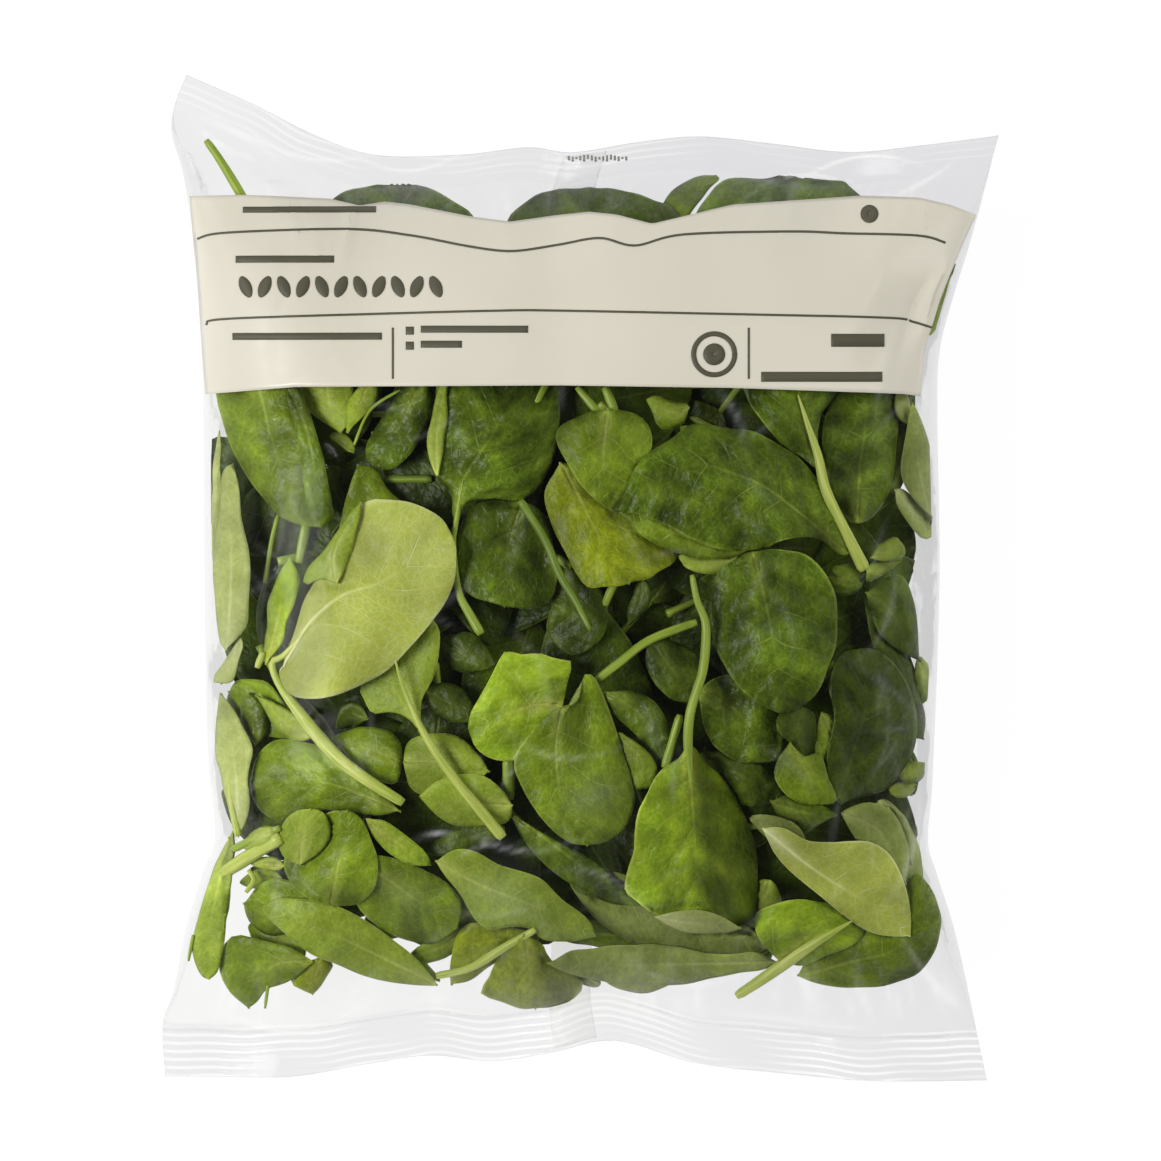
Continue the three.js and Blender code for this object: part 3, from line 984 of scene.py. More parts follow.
def make_date_strip():
    """Short plain strokes in jet ink on the top seal."""
    heap = Heap()
    for stroke in range(STROKE_COUNT):
        column = STROKES_FROM + stroke * STROKE_PITCH
        stroke_top = STROKE_TOP + STROKE_UNEVEN * math.sin(stroke)
        stroke_foot = STROKE_FOOT + STROKE_UNEVEN * math.sin(stroke * 2.1)
        bar(heap, column, stroke_top, column + STROKE_WIDE, stroke_foot)
    strip = heap.build("date_strip", printed_film("grey jet ink", ("#85857C", "#74746C"), 0.45))


# Leaves

# fall: how far one half of the leaf falls away; the finish paints that half darker, as painted shade
Leaf = namedtuple("Leaf", "kind depth midrib left right fall", defaults=(0,))
Stalk = namedtuple("Stalk", "kind depth path widths")
VEIN_PITCH = 8.5  # mm between side veins
VEIN_SLANT = 0.75  # how far the side veins run forward for each mm outward
LEAF_ROWS = (14, 60)  # fewest and most rows along a leaf
ROWS_FROM, ROWS_TO = 0.02, 0.98  # shares of the half turn that spaces them
COLUMN_PITCH = 2.1  # mm between columns, at the most
HALF_COLUMNS = (4, 18)
DEPTH_STEP = 1.35  # mm for each step of depth
CRINKLE = {
    "fresh": 0.6, "bright": 1.15, "mid": 1.0, "deep": 1.5, "olive": 0.8, "sage": 0.4, "pale": 0.35,
    "haze": 0.6, "shaded": 1.3, "filling": 0.8,
}

# Leaves that show through the front, by pixels of the photograph. Each has a finish, its depth under the
# film, its midrib from base to tip, and the margins to the left and right of it, by points between the two.
# A margin of five numbers is half widths at five places from base to tip instead.
FRONT_LEAVES = {
    "above the print, left": Leaf(
        "deep", 1.8, ((385, 330), (392, 280), (398, 230), (402, 183)),
        ((350, 300), (338, 250), (325, 212), (340, 194), (370, 184)),
        ((430, 300), (465, 250), (474, 218), (452, 200), (425, 186))),
    "above the print, middle": Leaf(
        "deep", 2, ((600, 330), (596, 280), (592, 230), (590, 187)),
        ((560, 300), (520, 260), (507, 226), (520, 204), (545, 191)),
        ((640, 300), (690, 250), (678, 212), (655, 200), (625, 190))),
    "above the print, folded": Leaf(
        "mid", 3.4, ((640, 250), (665, 222), (690, 196), (716, 174)),
        ((648, 225), (662, 202), (678, 184), (700, 175)),
        ((665, 245), (692, 214), (708, 192), (720, 180))),
    "above the print, right": Leaf(
        "deep", 2, ((690, 235), (740, 222), (800, 208), (863, 197)),
        ((703, 202), (726, 180), (765, 178), (792, 171), (819, 167), (836, 173), (850, 186)),
        ((710, 250), (770, 250), (830, 235), (858, 212))),
    "upper left, broad": Leaf(
        "mid", 1, ((250, 345), (262, 400), (275, 450), (292, 490), (322, 527)),
        ((290, 360), (300, 388), (310, 415), (318, 440), (325, 470), (330, 498), (333, 515)),
        ((215, 370), (216, 400), (223, 422), (232, 450), (245, 474), (262, 497), (280, 516), (300, 525))),
    "upper left, greyer fold": Leaf(
        "deep", 0.5, ((288, 388), (306, 430), (314, 470), (318, 500), (320, 526)),
        ((300, 392), (318, 440), (327, 480), (332, 510)),
        ((286, 400), (296, 430), (301, 460), (304, 490), (307, 515))),
    "under the print, left": Leaf(
        "fresh", 5, ((325, 360), (328, 400), (341, 434)),
        ((350, 380), (353, 400), (351, 415), (346, 428)),
        ((300, 375), (302, 398), (310, 412), (326, 424))),
    "under the print, small": Leaf(
        "bright", 3, ((370, 376), (358, 410), (347, 433)),
        ((378, 388), (374, 402), (358, 422)), ((358, 385), (349, 402), (346, 422))),
    "under the print, crinkled": Leaf(
        "deep", 6.5, ((422, 380), (400, 425), (373, 468)),
        ((434, 400), (425, 430), (410, 455), (392, 468)),
        ((410, 384), (392, 402), (378, 422), (367, 445), (367, 460))),
    "left, dark bit": Leaf(
        "mid", 7, ((330, 435), (342, 442), (354, 452)),
        (4, 7, 8, 6, 3), (3, 4, 4, 4, 2)),
    "upper middle, deep": Leaf(
        "deep", 4, ((456, 530), (457, 505), (463, 480), (480, 452), (497, 425), (520, 350)),
        ((452, 515), (452, 500), (448, 488), (440, 478), (433, 470), (429, 450), (430, 425), (435, 400),
         (445, 360), (475, 345)),
        ((459, 518), (462, 509), (468, 502), (480, 499), (515, 500), (535, 492), (550, 470), (558, 435),
         (560, 390), (548, 350))),
    "upper middle, lit margin": Leaf(
        "fresh", 3.4, ((437, 476), (436, 440), (441, 400), (447, 375)),
        (4, 8, 7, 6, 3), (3, 7, 8, 6, 3)),
    "behind the pale leaf": Leaf(
        "mid", 4, ((385, 555), (372, 515), (362, 485), (358, 464)),
        ((345, 556), (339, 532), (344, 506), (351, 484)),
        ((420, 545), (416, 515), (400, 500), (388, 490), (379, 474), (368, 465))),
    "pale underside": Leaf(
        "pale", 0.7, ((283, 668), (303, 632), (320, 612), (345, 594), (385, 580), (452, 535)),
        ((287, 650), (296, 625), (304, 600), (314, 582), (335, 545), (352, 512), (370, 500), (385, 499),
         (405, 501), (425, 508), (442, 519)),
        ((280, 676), (286, 690), (298, 698), (315, 699), (340, 694), (365, 684), (388, 671), (410, 648),
         (432, 620), (446, 600), (455, 575), (457, 555))),
    "pale underside, folded margin": Leaf(
        "fresh", 0.35, ((337, 584), (333, 556), (346, 526), (361, 502)),
        ((322, 580), (303, 584), (308, 567), (322, 550), (338, 528), (350, 511)),
        ((345, 566), (353, 544), (358, 522))),
    "left, narrow bright": Leaf(
        "bright", 2, ((266, 665), (274, 635), (282, 595), (289, 557)),
        ((262, 654), (264, 642), (267, 628), (266, 612), (269, 598), (278, 577), (285, 563)),
        ((276, 650), (285, 636), (288, 615), (296, 596), (300, 582), (296, 568))),
    "left edge, tall": Leaf(
        "sage", 1, ((226, 651), (230, 600), (231, 540), (230, 500), (233, 463)),
        ((219, 640), (216, 615), (213, 580), (213, 548), (217, 518), (220, 490), (224, 470)),
        ((236, 640), (247, 622), (249, 590), (249, 560), (244, 530), (240, 505), (238, 480))),
    "left edge, sliver": Leaf(
        "sage", 1.5, ((216, 585), (215, 540), (216, 490), (219, 430)),
        (2, 4, 5, 4, 2), (2, 4, 5, 4, 2)),
    "left, below the stub": Leaf(
        "mid", 5, ((300, 736), (270, 712), (228, 692)),
        ((280, 739), (262, 735), (240, 722), (227, 706)),
        ((285, 705), (268, 683), (250, 679), (235, 681))),
    "left, dull face": Leaf(
        "deep", 4.2, ((256, 746), (253, 720), (250, 693)),
        ((243, 730), (240, 715), (242, 701)), ((268, 735), (268, 718), (260, 702))),
    "left, pale rim": Leaf(
        "fresh", 3.4, ((309, 738), (282, 720), (255, 695)),
        ((290, 741), (275, 728), (264, 710)), ((302, 722), (285, 708), (268, 699))),
    "left edge, low": Leaf(
        "sage", 1, ((238, 838), (236, 780), (230, 740), (221, 694)),
        ((231, 820), (226, 800), (220, 775), (214, 750), (215, 725), (218, 706)),
        ((247, 815), (249, 790), (248, 765), (252, 748), (243, 728), (233, 710))),
    "left, textured": Leaf(
        "mid", 3, ((401, 812), (350, 790), (300, 778), (250, 782)),
        ((375, 815), (340, 811), (310, 811), (280, 820), (262, 813), (252, 798)),
        ((380, 792), (355, 773), (325, 749), (300, 742), (275, 741), (257, 755))),
    "left of the middle, glossy": Leaf(
        "mid", 5, ((402, 762), (370, 750), (332, 738)),
        ((395, 783), (375, 779), (352, 761)), ((400, 742), (385, 730), (358, 727))),
    "left of the middle, behind": Leaf(
        "shaded", 6, ((368, 720), (350, 712), (336, 728)),
        (6, 16, 18, 12, 5), (4, 8, 8, 6, 3)),
    "middle left, pale": Leaf(
        "fresh", 4, ((404, 762), (445, 762), (490, 772)),
        ((408, 742), (430, 733), (455, 735), (475, 750)),
        ((408, 785), (425, 796), (450, 792), (475, 782))),
    "middle left, fresh": Leaf(
        "fresh", 2.6, ((513, 806), (470, 803), (419, 797)),
        ((506, 822), (480, 829), (455, 826), (436, 815)),
        ((502, 790), (485, 777), (462, 774), (440, 780))),
    "middle left, on a long stalk": Leaf(
        "fresh", 4.2, ((424, 741), (408, 700), (398, 665), (397, 616)),
        ((416, 727), (405, 717), (392, 713), (372, 713), (364, 700), (360, 690), (370, 670), (378, 640),
         (385, 620)),
        ((421, 722), (421, 700), (430, 683), (437, 665), (440, 645), (437, 625), (420, 612))),
    "dark, beside the long stalk": Leaf(
        "shaded", 6, ((425, 690), (450, 705), (480, 720)),
        (8, 18, 20, 14, 6), (6, 14, 16, 12, 6)),
    "dark, above the crinkled leaf": Leaf(
        "shaded", 9, ((440, 640), (465, 655), (495, 665)),
        (8, 20, 22, 16, 6), (6, 16, 18, 12, 6)),
    "middle, crinkled": Leaf(
        "bright", 2.2, ((563, 706), (540, 704), (512, 712), (468, 729)),
        ((553, 735), (540, 752), (516, 762), (492, 759), (476, 748)),
        ((566, 690), (571, 662), (556, 659), (541, 654), (517, 655), (508, 649), (499, 660), (490, 678),
         (480, 696), (471, 713))),
    "middle, hazier": Leaf(
        "mid", 1.5, ((562, 706), (556, 750), (562, 800), (588, 846)),
        ((577, 698), (585, 675), (595, 678), (603, 694), (612, 718), (621, 745), (630, 775), (635, 798),
         (630, 818), (620, 833), (604, 843)),
        ((541, 722), (522, 744), (514, 766), (522, 788), (534, 808), (551, 829), (570, 843))),
    "middle, behind": Leaf(
        "deep", 4.5, ((604, 692), (635, 710), (672, 755)),
        ((630, 690), (655, 702), (668, 725)), ((612, 712), (636, 735), (655, 760))),
    "middle, small beside": Leaf(
        "mid", 3, ((610, 730), (636, 752), (654, 784)),
        ((630, 738), (648, 752), (657, 768)), ((612, 752), (622, 775), (638, 790))),
    "centre, hazy": Leaf(
        "mid", 1.6, ((608, 409), (604, 440), (604, 475), (613, 512)),
        ((630, 412), (645, 420), (652, 434), (651, 450), (646, 470), (635, 486), (623, 501)),
        ((590, 412), (573, 418), (559, 430), (557, 443), (567, 463), (580, 484), (597, 501))),
    "centre, small": Leaf(
        "mid", 3, ((690, 408), (670, 412), (646, 400)),
        ((684, 424), (660, 428), (652, 412)), ((685, 402), (668, 400), (656, 394))),
    "centre, mottled": Leaf(
        "deep", 1.2,
        ((848, 553), (815, 525), (790, 505), (765, 487), (735, 474), (700, 465), (660, 475), (612, 509)),
        ((838, 553), (822, 541), (800, 537), (782, 540), (765, 547), (742, 551), (718, 549), (695, 541),
         (670, 527), (645, 516), (628, 513)),
        ((845, 530), (832, 505), (818, 480), (800, 458), (780, 445), (755, 432), (730, 428), (708, 424),
         (690, 425), (672, 437), (655, 448), (637, 466), (622, 493))),
    "centre, second margin": Leaf(
        "mid", 3.6, ((756, 546), (700, 540), (650, 525), (617, 511)),
        ((740, 556), (715, 560), (690, 557), (660, 546), (640, 534), (628, 522)),
        ((735, 535), (700, 525), (660, 515), (636, 510))),
    "centre, crescent": Leaf(
        "fresh", 6, ((738, 555), (708, 563), (678, 556)),
        ((728, 569), (708, 574), (688, 569)), ((725, 553), (708, 556), (690, 554))),
    "centre left, speckled": Leaf(
        "olive", 3.6, ((560, 462), (580, 500), (602, 543), (630, 584)),
        ((585, 468), (615, 490), (650, 520), (675, 545), (676, 560), (656, 574)),
        ((547, 485), (545, 503), (553, 528), (565, 552), (576, 573), (588, 587), (605, 587))),
    "right, under the print": Leaf(
        "deep", 1.6, ((823, 472), (812, 445), (803, 415), (797, 380), (795, 335)),
        ((814, 467), (800, 455), (785, 447), (772, 433), (760, 418), (748, 400), (742, 380), (748, 345)),
        ((821, 455), (819, 435), (822, 414), (832, 402), (841, 390), (842, 370), (832, 342))),
    "right, tall": Leaf(
        "deep", 3, ((858, 523), (860, 470), (866, 420), (870, 350)),
        ((845, 519), (832, 490), (823, 455), (823, 425), (832, 400), (845, 370)),
        ((873, 516), (886, 502), (893, 475), (897, 445), (899, 415), (893, 370))),
    "right, tall, shaded side": Leaf(
        "shaded", 3.4, ((868, 520), (895, 482), (905, 440), (908, 392)),
        (5, 8, 10, 9, 6), (4, 7, 8, 7, 5)),
    "right edge, beside the print": Leaf(
        "mid", 1.2, ((930, 335), (938, 305), (958, 264)),
        (4, 7, 9, 8, 4), (4, 7, 9, 8, 4)),
    "right edge, grey green": Leaf(
        "haze", 1, ((933, 519), (920, 470), (912, 402)),
        ((920, 506), (904, 480), (904, 450), (907, 420)),
        ((936, 490), (933, 460), (927, 435), (918, 412))),
    "right edge, small": Leaf(
        "haze", 2.8, ((912, 424), (905, 408), (900, 388)),
        (5, 9, 10, 8, 4), (3, 5, 6, 6, 4)),
    "right, green piece": Leaf(
        "mid", 2, ((870, 558), (888, 552), (897, 537)),
        ((878, 545), (890, 536)), ((885, 562), (903, 558), (905, 548))),
    "right, pale piece": Leaf(
        "mid", 2.2, ((866, 570), (882, 570), (903, 560)),
        ((875, 562), (890, 559)), ((868, 584), (880, 577), (893, 568))),
    "right, between": Leaf(
        "deep", 3, ((826, 576), (845, 578), (866, 574)),
        ((835, 567), (855, 564)), ((830, 592), (842, 597), (858, 592))),
    "right, smooth": Leaf(
        "deep", 1, ((752, 552), (765, 600), (775, 650), (787, 713)),
        ((775, 549), (800, 552), (820, 566), (833, 588), (838, 615), (836, 645), (828, 670), (815, 695),
         (801, 708)),
        ((728, 562), (714, 582), (709, 608), (713, 640), (723, 663), (738, 686), (757, 702), (774, 711))),
    "low middle, on a long stalk": Leaf(
        "bright", 0.8, ((688, 743), (692, 800), (696, 860), (697, 900), (702, 929)),
        ((697, 750), (704, 762), (720, 775), (735, 795), (746, 818), (754, 842), (758, 870), (758, 895),
         (754, 913), (742, 927)),
        ((678, 758), (665, 768), (654, 780), (644, 797), (637, 815), (635, 835), (634, 852), (629, 870),
         (625, 890), (636, 901), (650, 911), (668, 920)),
        -0.5),
    "low middle, folded tip": Leaf(
        "sage", 0.3, ((654, 917), (690, 923), (741, 928)),
        ((675, 912), (700, 911), (722, 917)), ((670, 926), (692, 933), (725, 934))),
    "right, dark lobe": Leaf(
        "shaded", 2, ((865, 592), (890, 610), (921, 662)),
        ((885, 578), (903, 576), (914, 600), (918, 630)), ((872, 615), (882, 636), (902, 652))),
    "right, dark crinkled": Leaf(
        "shaded", 2, ((838, 803), (850, 765), (862, 727), (868, 690), (866, 648)),
        ((828, 785), (826, 765), (830, 742), (834, 716), (831, 692), (833, 668), (845, 652)),
        ((862, 798), (885, 790), (902, 774), (914, 750), (918, 722), (912, 695), (898, 668), (880, 652))),
    "right, dark lobe behind": Leaf(
        "shaded", 3, ((864, 596), (885, 635), (908, 680), (924, 740)),
        ((885, 625), (905, 650), (918, 690), (926, 720)),
        ((868, 620), (875, 650), (890, 700), (910, 735))),
    "right, small behind": Leaf(
        "mid", 2.4, ((843, 656), (842, 690), (860, 724)),
        ((852, 665), (857, 690), (862, 708)), ((832, 668), (831, 695), (842, 716))),
    "right, olive between": Leaf(
        "mid", 2.4, ((822, 712), (838, 755), (842, 805)),
        ((845, 722), (862, 745), (862, 775), (852, 797)), ((814, 740), (820, 770), (830, 794))),
    "right, under the smooth leaf": Leaf(
        "shaded", 1.9, ((800, 706), (798, 730), (803, 758)),
        ((814, 713), (815, 738), (810, 753)), ((779, 714), (777, 730), (790, 743))),
    "right, hazy": Leaf(
        "mid", 1.7, ((790, 742), (806, 770), (822, 805)),
        ((806, 757), (820, 752), (829, 778), (837, 800)),
        ((780, 755), (774, 775), (786, 795), (805, 804))),
    "right edge, lobe": Leaf(
        "mid", 3, ((918, 655), (925, 680), (921, 705)),
        ((929, 665), (937, 685), (931, 698)), ((915, 668), (916, 690))),
    "right edge, low fringe": Leaf(
        "shaded", 3.4, ((880, 745), (900, 768), (913, 794)),
        (8, 18, 20, 14, 7), (8, 16, 18, 14, 7)),
    "right edge, ragged": Leaf(
        "mid", 3, ((900, 765), (912, 772), (925, 763)),
        (5, 12, 12, 8, 3), (5, 10, 12, 9, 3)),
    "right edge, ragged, lower": Leaf(
        "mid", 3, ((890, 790), (905, 790), (918, 786)),
        (4, 8, 9, 7, 3), (4, 8, 9, 7, 3)),
    "middle left, highlights": Leaf(
        "deep", 4.6, ((522, 500), (508, 548), (505, 607)),
        ((545, 515), (554, 545), (556, 575), (550, 600), (530, 608)),
        ((480, 502), (462, 520), (457, 550), (460, 580), (472, 596))),
    "middle, deep behind": Leaf(
        "shaded", 8, ((560, 560), (572, 600), (570, 655)),
        (8, 24, 34, 34, 18), (6, 14, 20, 26, 12)),
    "middle, small behind": Leaf(
        "shaded", 7, ((643, 580), (640, 600), (628, 624)),
        (4, 9, 10, 8, 3), (4, 8, 9, 7, 3)),
    "middle right, deep": Leaf(
        "deep", 5, ((700, 690), (740, 715), (775, 760)),
        (16, 30, 34, 28, 14), (14, 34, 40, 34, 16)),
    "middle right, dark grey": Leaf(
        "shaded", 6.5, ((700, 755), (740, 775), (785, 800)),
        (8, 18, 20, 16, 8), (10, 24, 28, 20, 8)),
    "middle, wrinkled": Leaf(
        "shaded", 6, ((650, 640), (668, 665), (700, 700)),
        (10, 22, 30, 26, 12), (8, 18, 22, 20, 10)),
    "low right, small deep": Leaf(
        "deep", 2, ((770, 801), (800, 812), (839, 816)),
        ((788, 796), (815, 801)), ((780, 820), (799, 837), (820, 824))),
    "low right, pale": Leaf(
        "pale", 0.5, ((762, 828), (812, 868), (860, 899), (911, 936)),
        ((785, 829), (812, 842), (848, 841), (872, 843), (892, 857), (905, 886), (911, 915)),
        ((774, 852), (791, 872), (817, 893), (843, 915), (866, 930), (892, 937))),
    "low right, olive": Leaf(
        "haze", 1.6, ((842, 814), (880, 832), (906, 885)),
        ((865, 803), (888, 808), (902, 828), (909, 855)), ((856, 839), (877, 846), (895, 862))),
    "low right, hazy end": Leaf(
        "haze", 1.5, ((750, 819), (775, 828), (806, 846)),
        (6, 10, 12, 12, 6), (4, 10, 14, 12, 5)),
    "low right, edge": Leaf(
        "haze", 2.6, ((888, 806), (903, 830), (911, 865)),
        (4, 8, 8, 7, 3), (4, 8, 8, 6, 3)),
    "low right, bright": Leaf(
        "bright", 1.2, ((780, 962), (808, 942), (835, 926), (862, 912)),
        ((768, 950), (756, 934), (757, 914), (778, 904), (800, 899), (820, 903), (843, 905)),
        ((800, 966), (825, 958), (848, 948), (864, 932))),
    "low right, round": Leaf(
        "mid", 2.2, ((797, 976), (850, 962), (900, 945), (930, 886)),
        ((818, 950), (850, 925), (880, 905), (905, 885), (918, 874)),
        ((825, 986), (868, 988), (905, 980), (930, 962), (941, 930), (938, 902))),
    "bottom, long": Leaf(
        "haze", 1.5, ((777, 962), (700, 964), (620, 965), (546, 962)),
        ((755, 971), (720, 977), (690, 984), (650, 986), (610, 983), (580, 977), (560, 970)),
        ((755, 953), (720, 955), (690, 950), (650, 945), (610, 947), (575, 952))),
    "bottom, dark behind the long one": Leaf(
        "deep", 3, ((600, 985), (575, 975), (552, 966)),
        (4, 6, 7, 6, 3), (6, 10, 10, 8, 3)),
    "bottom, olive edge": Leaf(
        "olive", 2.6, ((672, 982), (640, 984), (606, 981)),
        (4, 8, 10, 8, 4), (4, 8, 10, 8, 4)),
    "low middle, dull behind": Leaf(
        "haze", 4, ((560, 868), (640, 905), (700, 925), (770, 945)),
        (8, 20, 26, 20, 8), (10, 32, 40, 34, 14)),
    "low middle, long narrow": Leaf(
        "deep", 3.4, ((510, 812), (560, 850), (600, 880), (640, 905)),
        ((535, 828), (560, 842), (590, 859), (617, 879)),
        ((520, 835), (545, 865), (580, 890), (615, 905))),
    "low middle, upper": Leaf(
        "shaded", 4.4, ((505, 828), (470, 838), (425, 851)),
        (8, 14, 16, 12, 6), (6, 10, 12, 9, 5)),
    "backing, left": Leaf(
        "shaded", 8, ((320, 850), (265, 825), (222, 790)),
        (14, 24, 26, 20, 8), (12, 20, 24, 18, 8)),
    "backing, left, lower": Leaf(
        "shaded", 8, ((340, 895), (290, 885), (250, 868)),
        (10, 18, 20, 14, 6), (10, 24, 26, 18, 6)),
    "backing, low left": Leaf(
        "mid", 6, ((430, 890), (395, 915), (362, 938)),
        (12, 20, 24, 18, 8), (10, 18, 22, 18, 8)),
    "backing, low middle": Leaf(
        "shaded", 7, ((620, 880), (590, 905), (566, 935)),
        (10, 22, 26, 20, 8), (10, 22, 26, 20, 8)),
    "backing, low middle, left": Leaf(
        "mid", 6, ((480, 880), (468, 910), (452, 938)),
        (8, 16, 18, 14, 6), (8, 14, 16, 12, 6)),
    "backing, bottom": Leaf(
        "mid", 6, ((540, 928), (640, 938), (772, 950)),
        (10, 16, 18, 14, 6), (8, 14, 16, 12, 6)),
    "backing, low right": Leaf(
        "haze", 5, ((880, 800), (908, 850), (918, 900)),
        (8, 12, 12, 10, 5), (14, 22, 24, 18, 8)),
    "backing, bottom right": Leaf(
        "mid", 6, ((770, 880), (760, 920), (768, 962)),
        (10, 18, 20, 14, 6), (10, 22, 26, 22, 8)),
    "low left, round lobe": Leaf(
        "fresh", 0.6, ((300, 866), (302, 840), (311, 809)),
        ((284, 858), (278, 842), (283, 822), (296, 811)),
        ((316, 856), (328, 840), (329, 824), (322, 812))),
    "low left, crinkled": Leaf(
        "mid", 1, ((330, 905), (337, 870), (345, 838), (348, 810)),
        ((306, 897), (290, 882), (283, 864), (290, 845), (305, 828), (325, 814)),
        ((356, 906), (374, 888), (378, 862), (371, 840), (362, 820))),
    "low left, middle": Leaf(
        "mid", 1.5, ((362, 862), (395, 885), (425, 907), (457, 928)),
        ((378, 856), (402, 862), (425, 871), (447, 884), (461, 902)),
        ((350, 884), (358, 908), (378, 928), (405, 941), (434, 944))),
    "low left, small bright": Leaf(
        "bright", 1.4, ((366, 820), (400, 845), (431, 866)),
        ((382, 820), (400, 831), (418, 845), (429, 857)),
        ((372, 835), (385, 850), (402, 862), (418, 867))),
    "low left, behind": Leaf(
        "mid", 4, ((325, 900), (285, 905), (243, 904)),
        ((300, 928), (270, 936), (250, 924)), ((300, 885), (275, 879), (255, 889))),
    "low left, behind, lower": Leaf(
        "mid", 4.6, ((305, 956), (278, 942), (248, 926)),
        (8, 13, 14, 12, 6), (8, 14, 16, 12, 6)),
    "low left, arched": Leaf(
        "fresh", 1.3, ((282, 831), (262, 836), (239, 847)),
        ((268, 843), (252, 851)), ((268, 826), (250, 831))),
    "low left, yellowish piece": Leaf(
        "bright", 2.2, ((284, 866), (266, 864), (249, 862)),
        (4, 6, 6, 5, 3), (4, 7, 7, 6, 3)),
    "low left, in the hollow": Leaf(
        "mid", 5, ((282, 880), (262, 878), (240, 884)),
        (6, 12, 12, 9, 4), (4, 9, 10, 8, 4)),
    "bottom left, long": Leaf(
        "fresh", 1, ((437, 985), (380, 957), (320, 929), (261, 907)),
        ((412, 985), (385, 981), (360, 975), (338, 966), (315, 957), (295, 943), (278, 928), (266, 917)),
        ((425, 968), (408, 952), (390, 938), (368, 923), (345, 910), (320, 901), (295, 898), (275, 899))),
    "bottom left, translucent": Leaf(
        "mid", 2.2, ((313, 961), (272, 966), (248, 1009)),
        ((295, 978), (278, 986), (266, 991), (257, 1001)),
        ((290, 948), (262, 940), (235, 936), (222, 948), (219, 970), (229, 992))),
    "bottom left, olive": Leaf(
        "olive", 2.6, ((320, 958), (315, 975), (313, 995)),
        ((333, 964), (326, 978), (320, 988)), ((300, 967), (289, 981), (302, 990))),
    "left corner": Leaf(
        "fresh", 1, ((229, 837), (217, 890), (208, 935), (209, 980)),
        ((231, 865), (229, 900), (225, 930), (222, 950), (218, 970)),
        ((217, 858), (206, 888), (197, 915), (191, 940), (194, 962), (201, 976))),
    "left corner, dark strip": Leaf(
        "mid", 0.8, ((233, 832), (229, 870), (226, 905), (224, 930)),
        (2, 4, 4, 3, 2), (3, 6, 7, 5, 2)),
    "low middle, curved": Leaf(
        "fresh", 1.2, ((435, 861), (480, 885), (530, 905), (596, 937)),
        ((448, 852), (462, 849), (478, 853), (498, 864), (522, 872), (542, 880), (562, 900), (582, 914),
         (592, 925)),
        ((445, 876), (460, 895), (475, 920), (490, 930), (512, 927), (530, 929), (545, 941), (570, 941))),
    "bottom, yellowish": Leaf(
        "olive", 2.8, ((451, 985), (485, 955), (540, 935)),
        ((450, 962), (457, 936), (472, 924), (500, 928), (522, 930)),
        ((470, 981), (492, 966), (512, 956), (532, 952))),
    "bottom, under the middle": Leaf(
        "mid", 4, ((470, 925), (445, 945), (415, 960), (440, 982)),
        (6, 12, 12, 8, 4), (4, 8, 8, 6, 3)),
    "bottom, round": Leaf(
        "olive", 2, ((524, 934), (530, 970), (536, 1009)),
        ((543, 945), (552, 962), (572, 974), (584, 985), (576, 998), (558, 1007)),
        ((508, 946), (495, 962), (487, 980), (480, 993), (500, 1002), (518, 1008))),
    "left edge, flared stub": Leaf(
        "sage", 1.3, ((240, 636), (231, 660), (221, 684)),
        ((242, 646), (238, 662), (233, 682)), ((233, 648), (221, 664), (211, 680))),
    "right edge, flared stub": Leaf(
        "haze", 1.2, ((895, 489), (914, 511), (935, 534)),
        ((904, 489), (920, 503), (936, 520)), ((897, 504), (907, 520), (922, 538))),
}

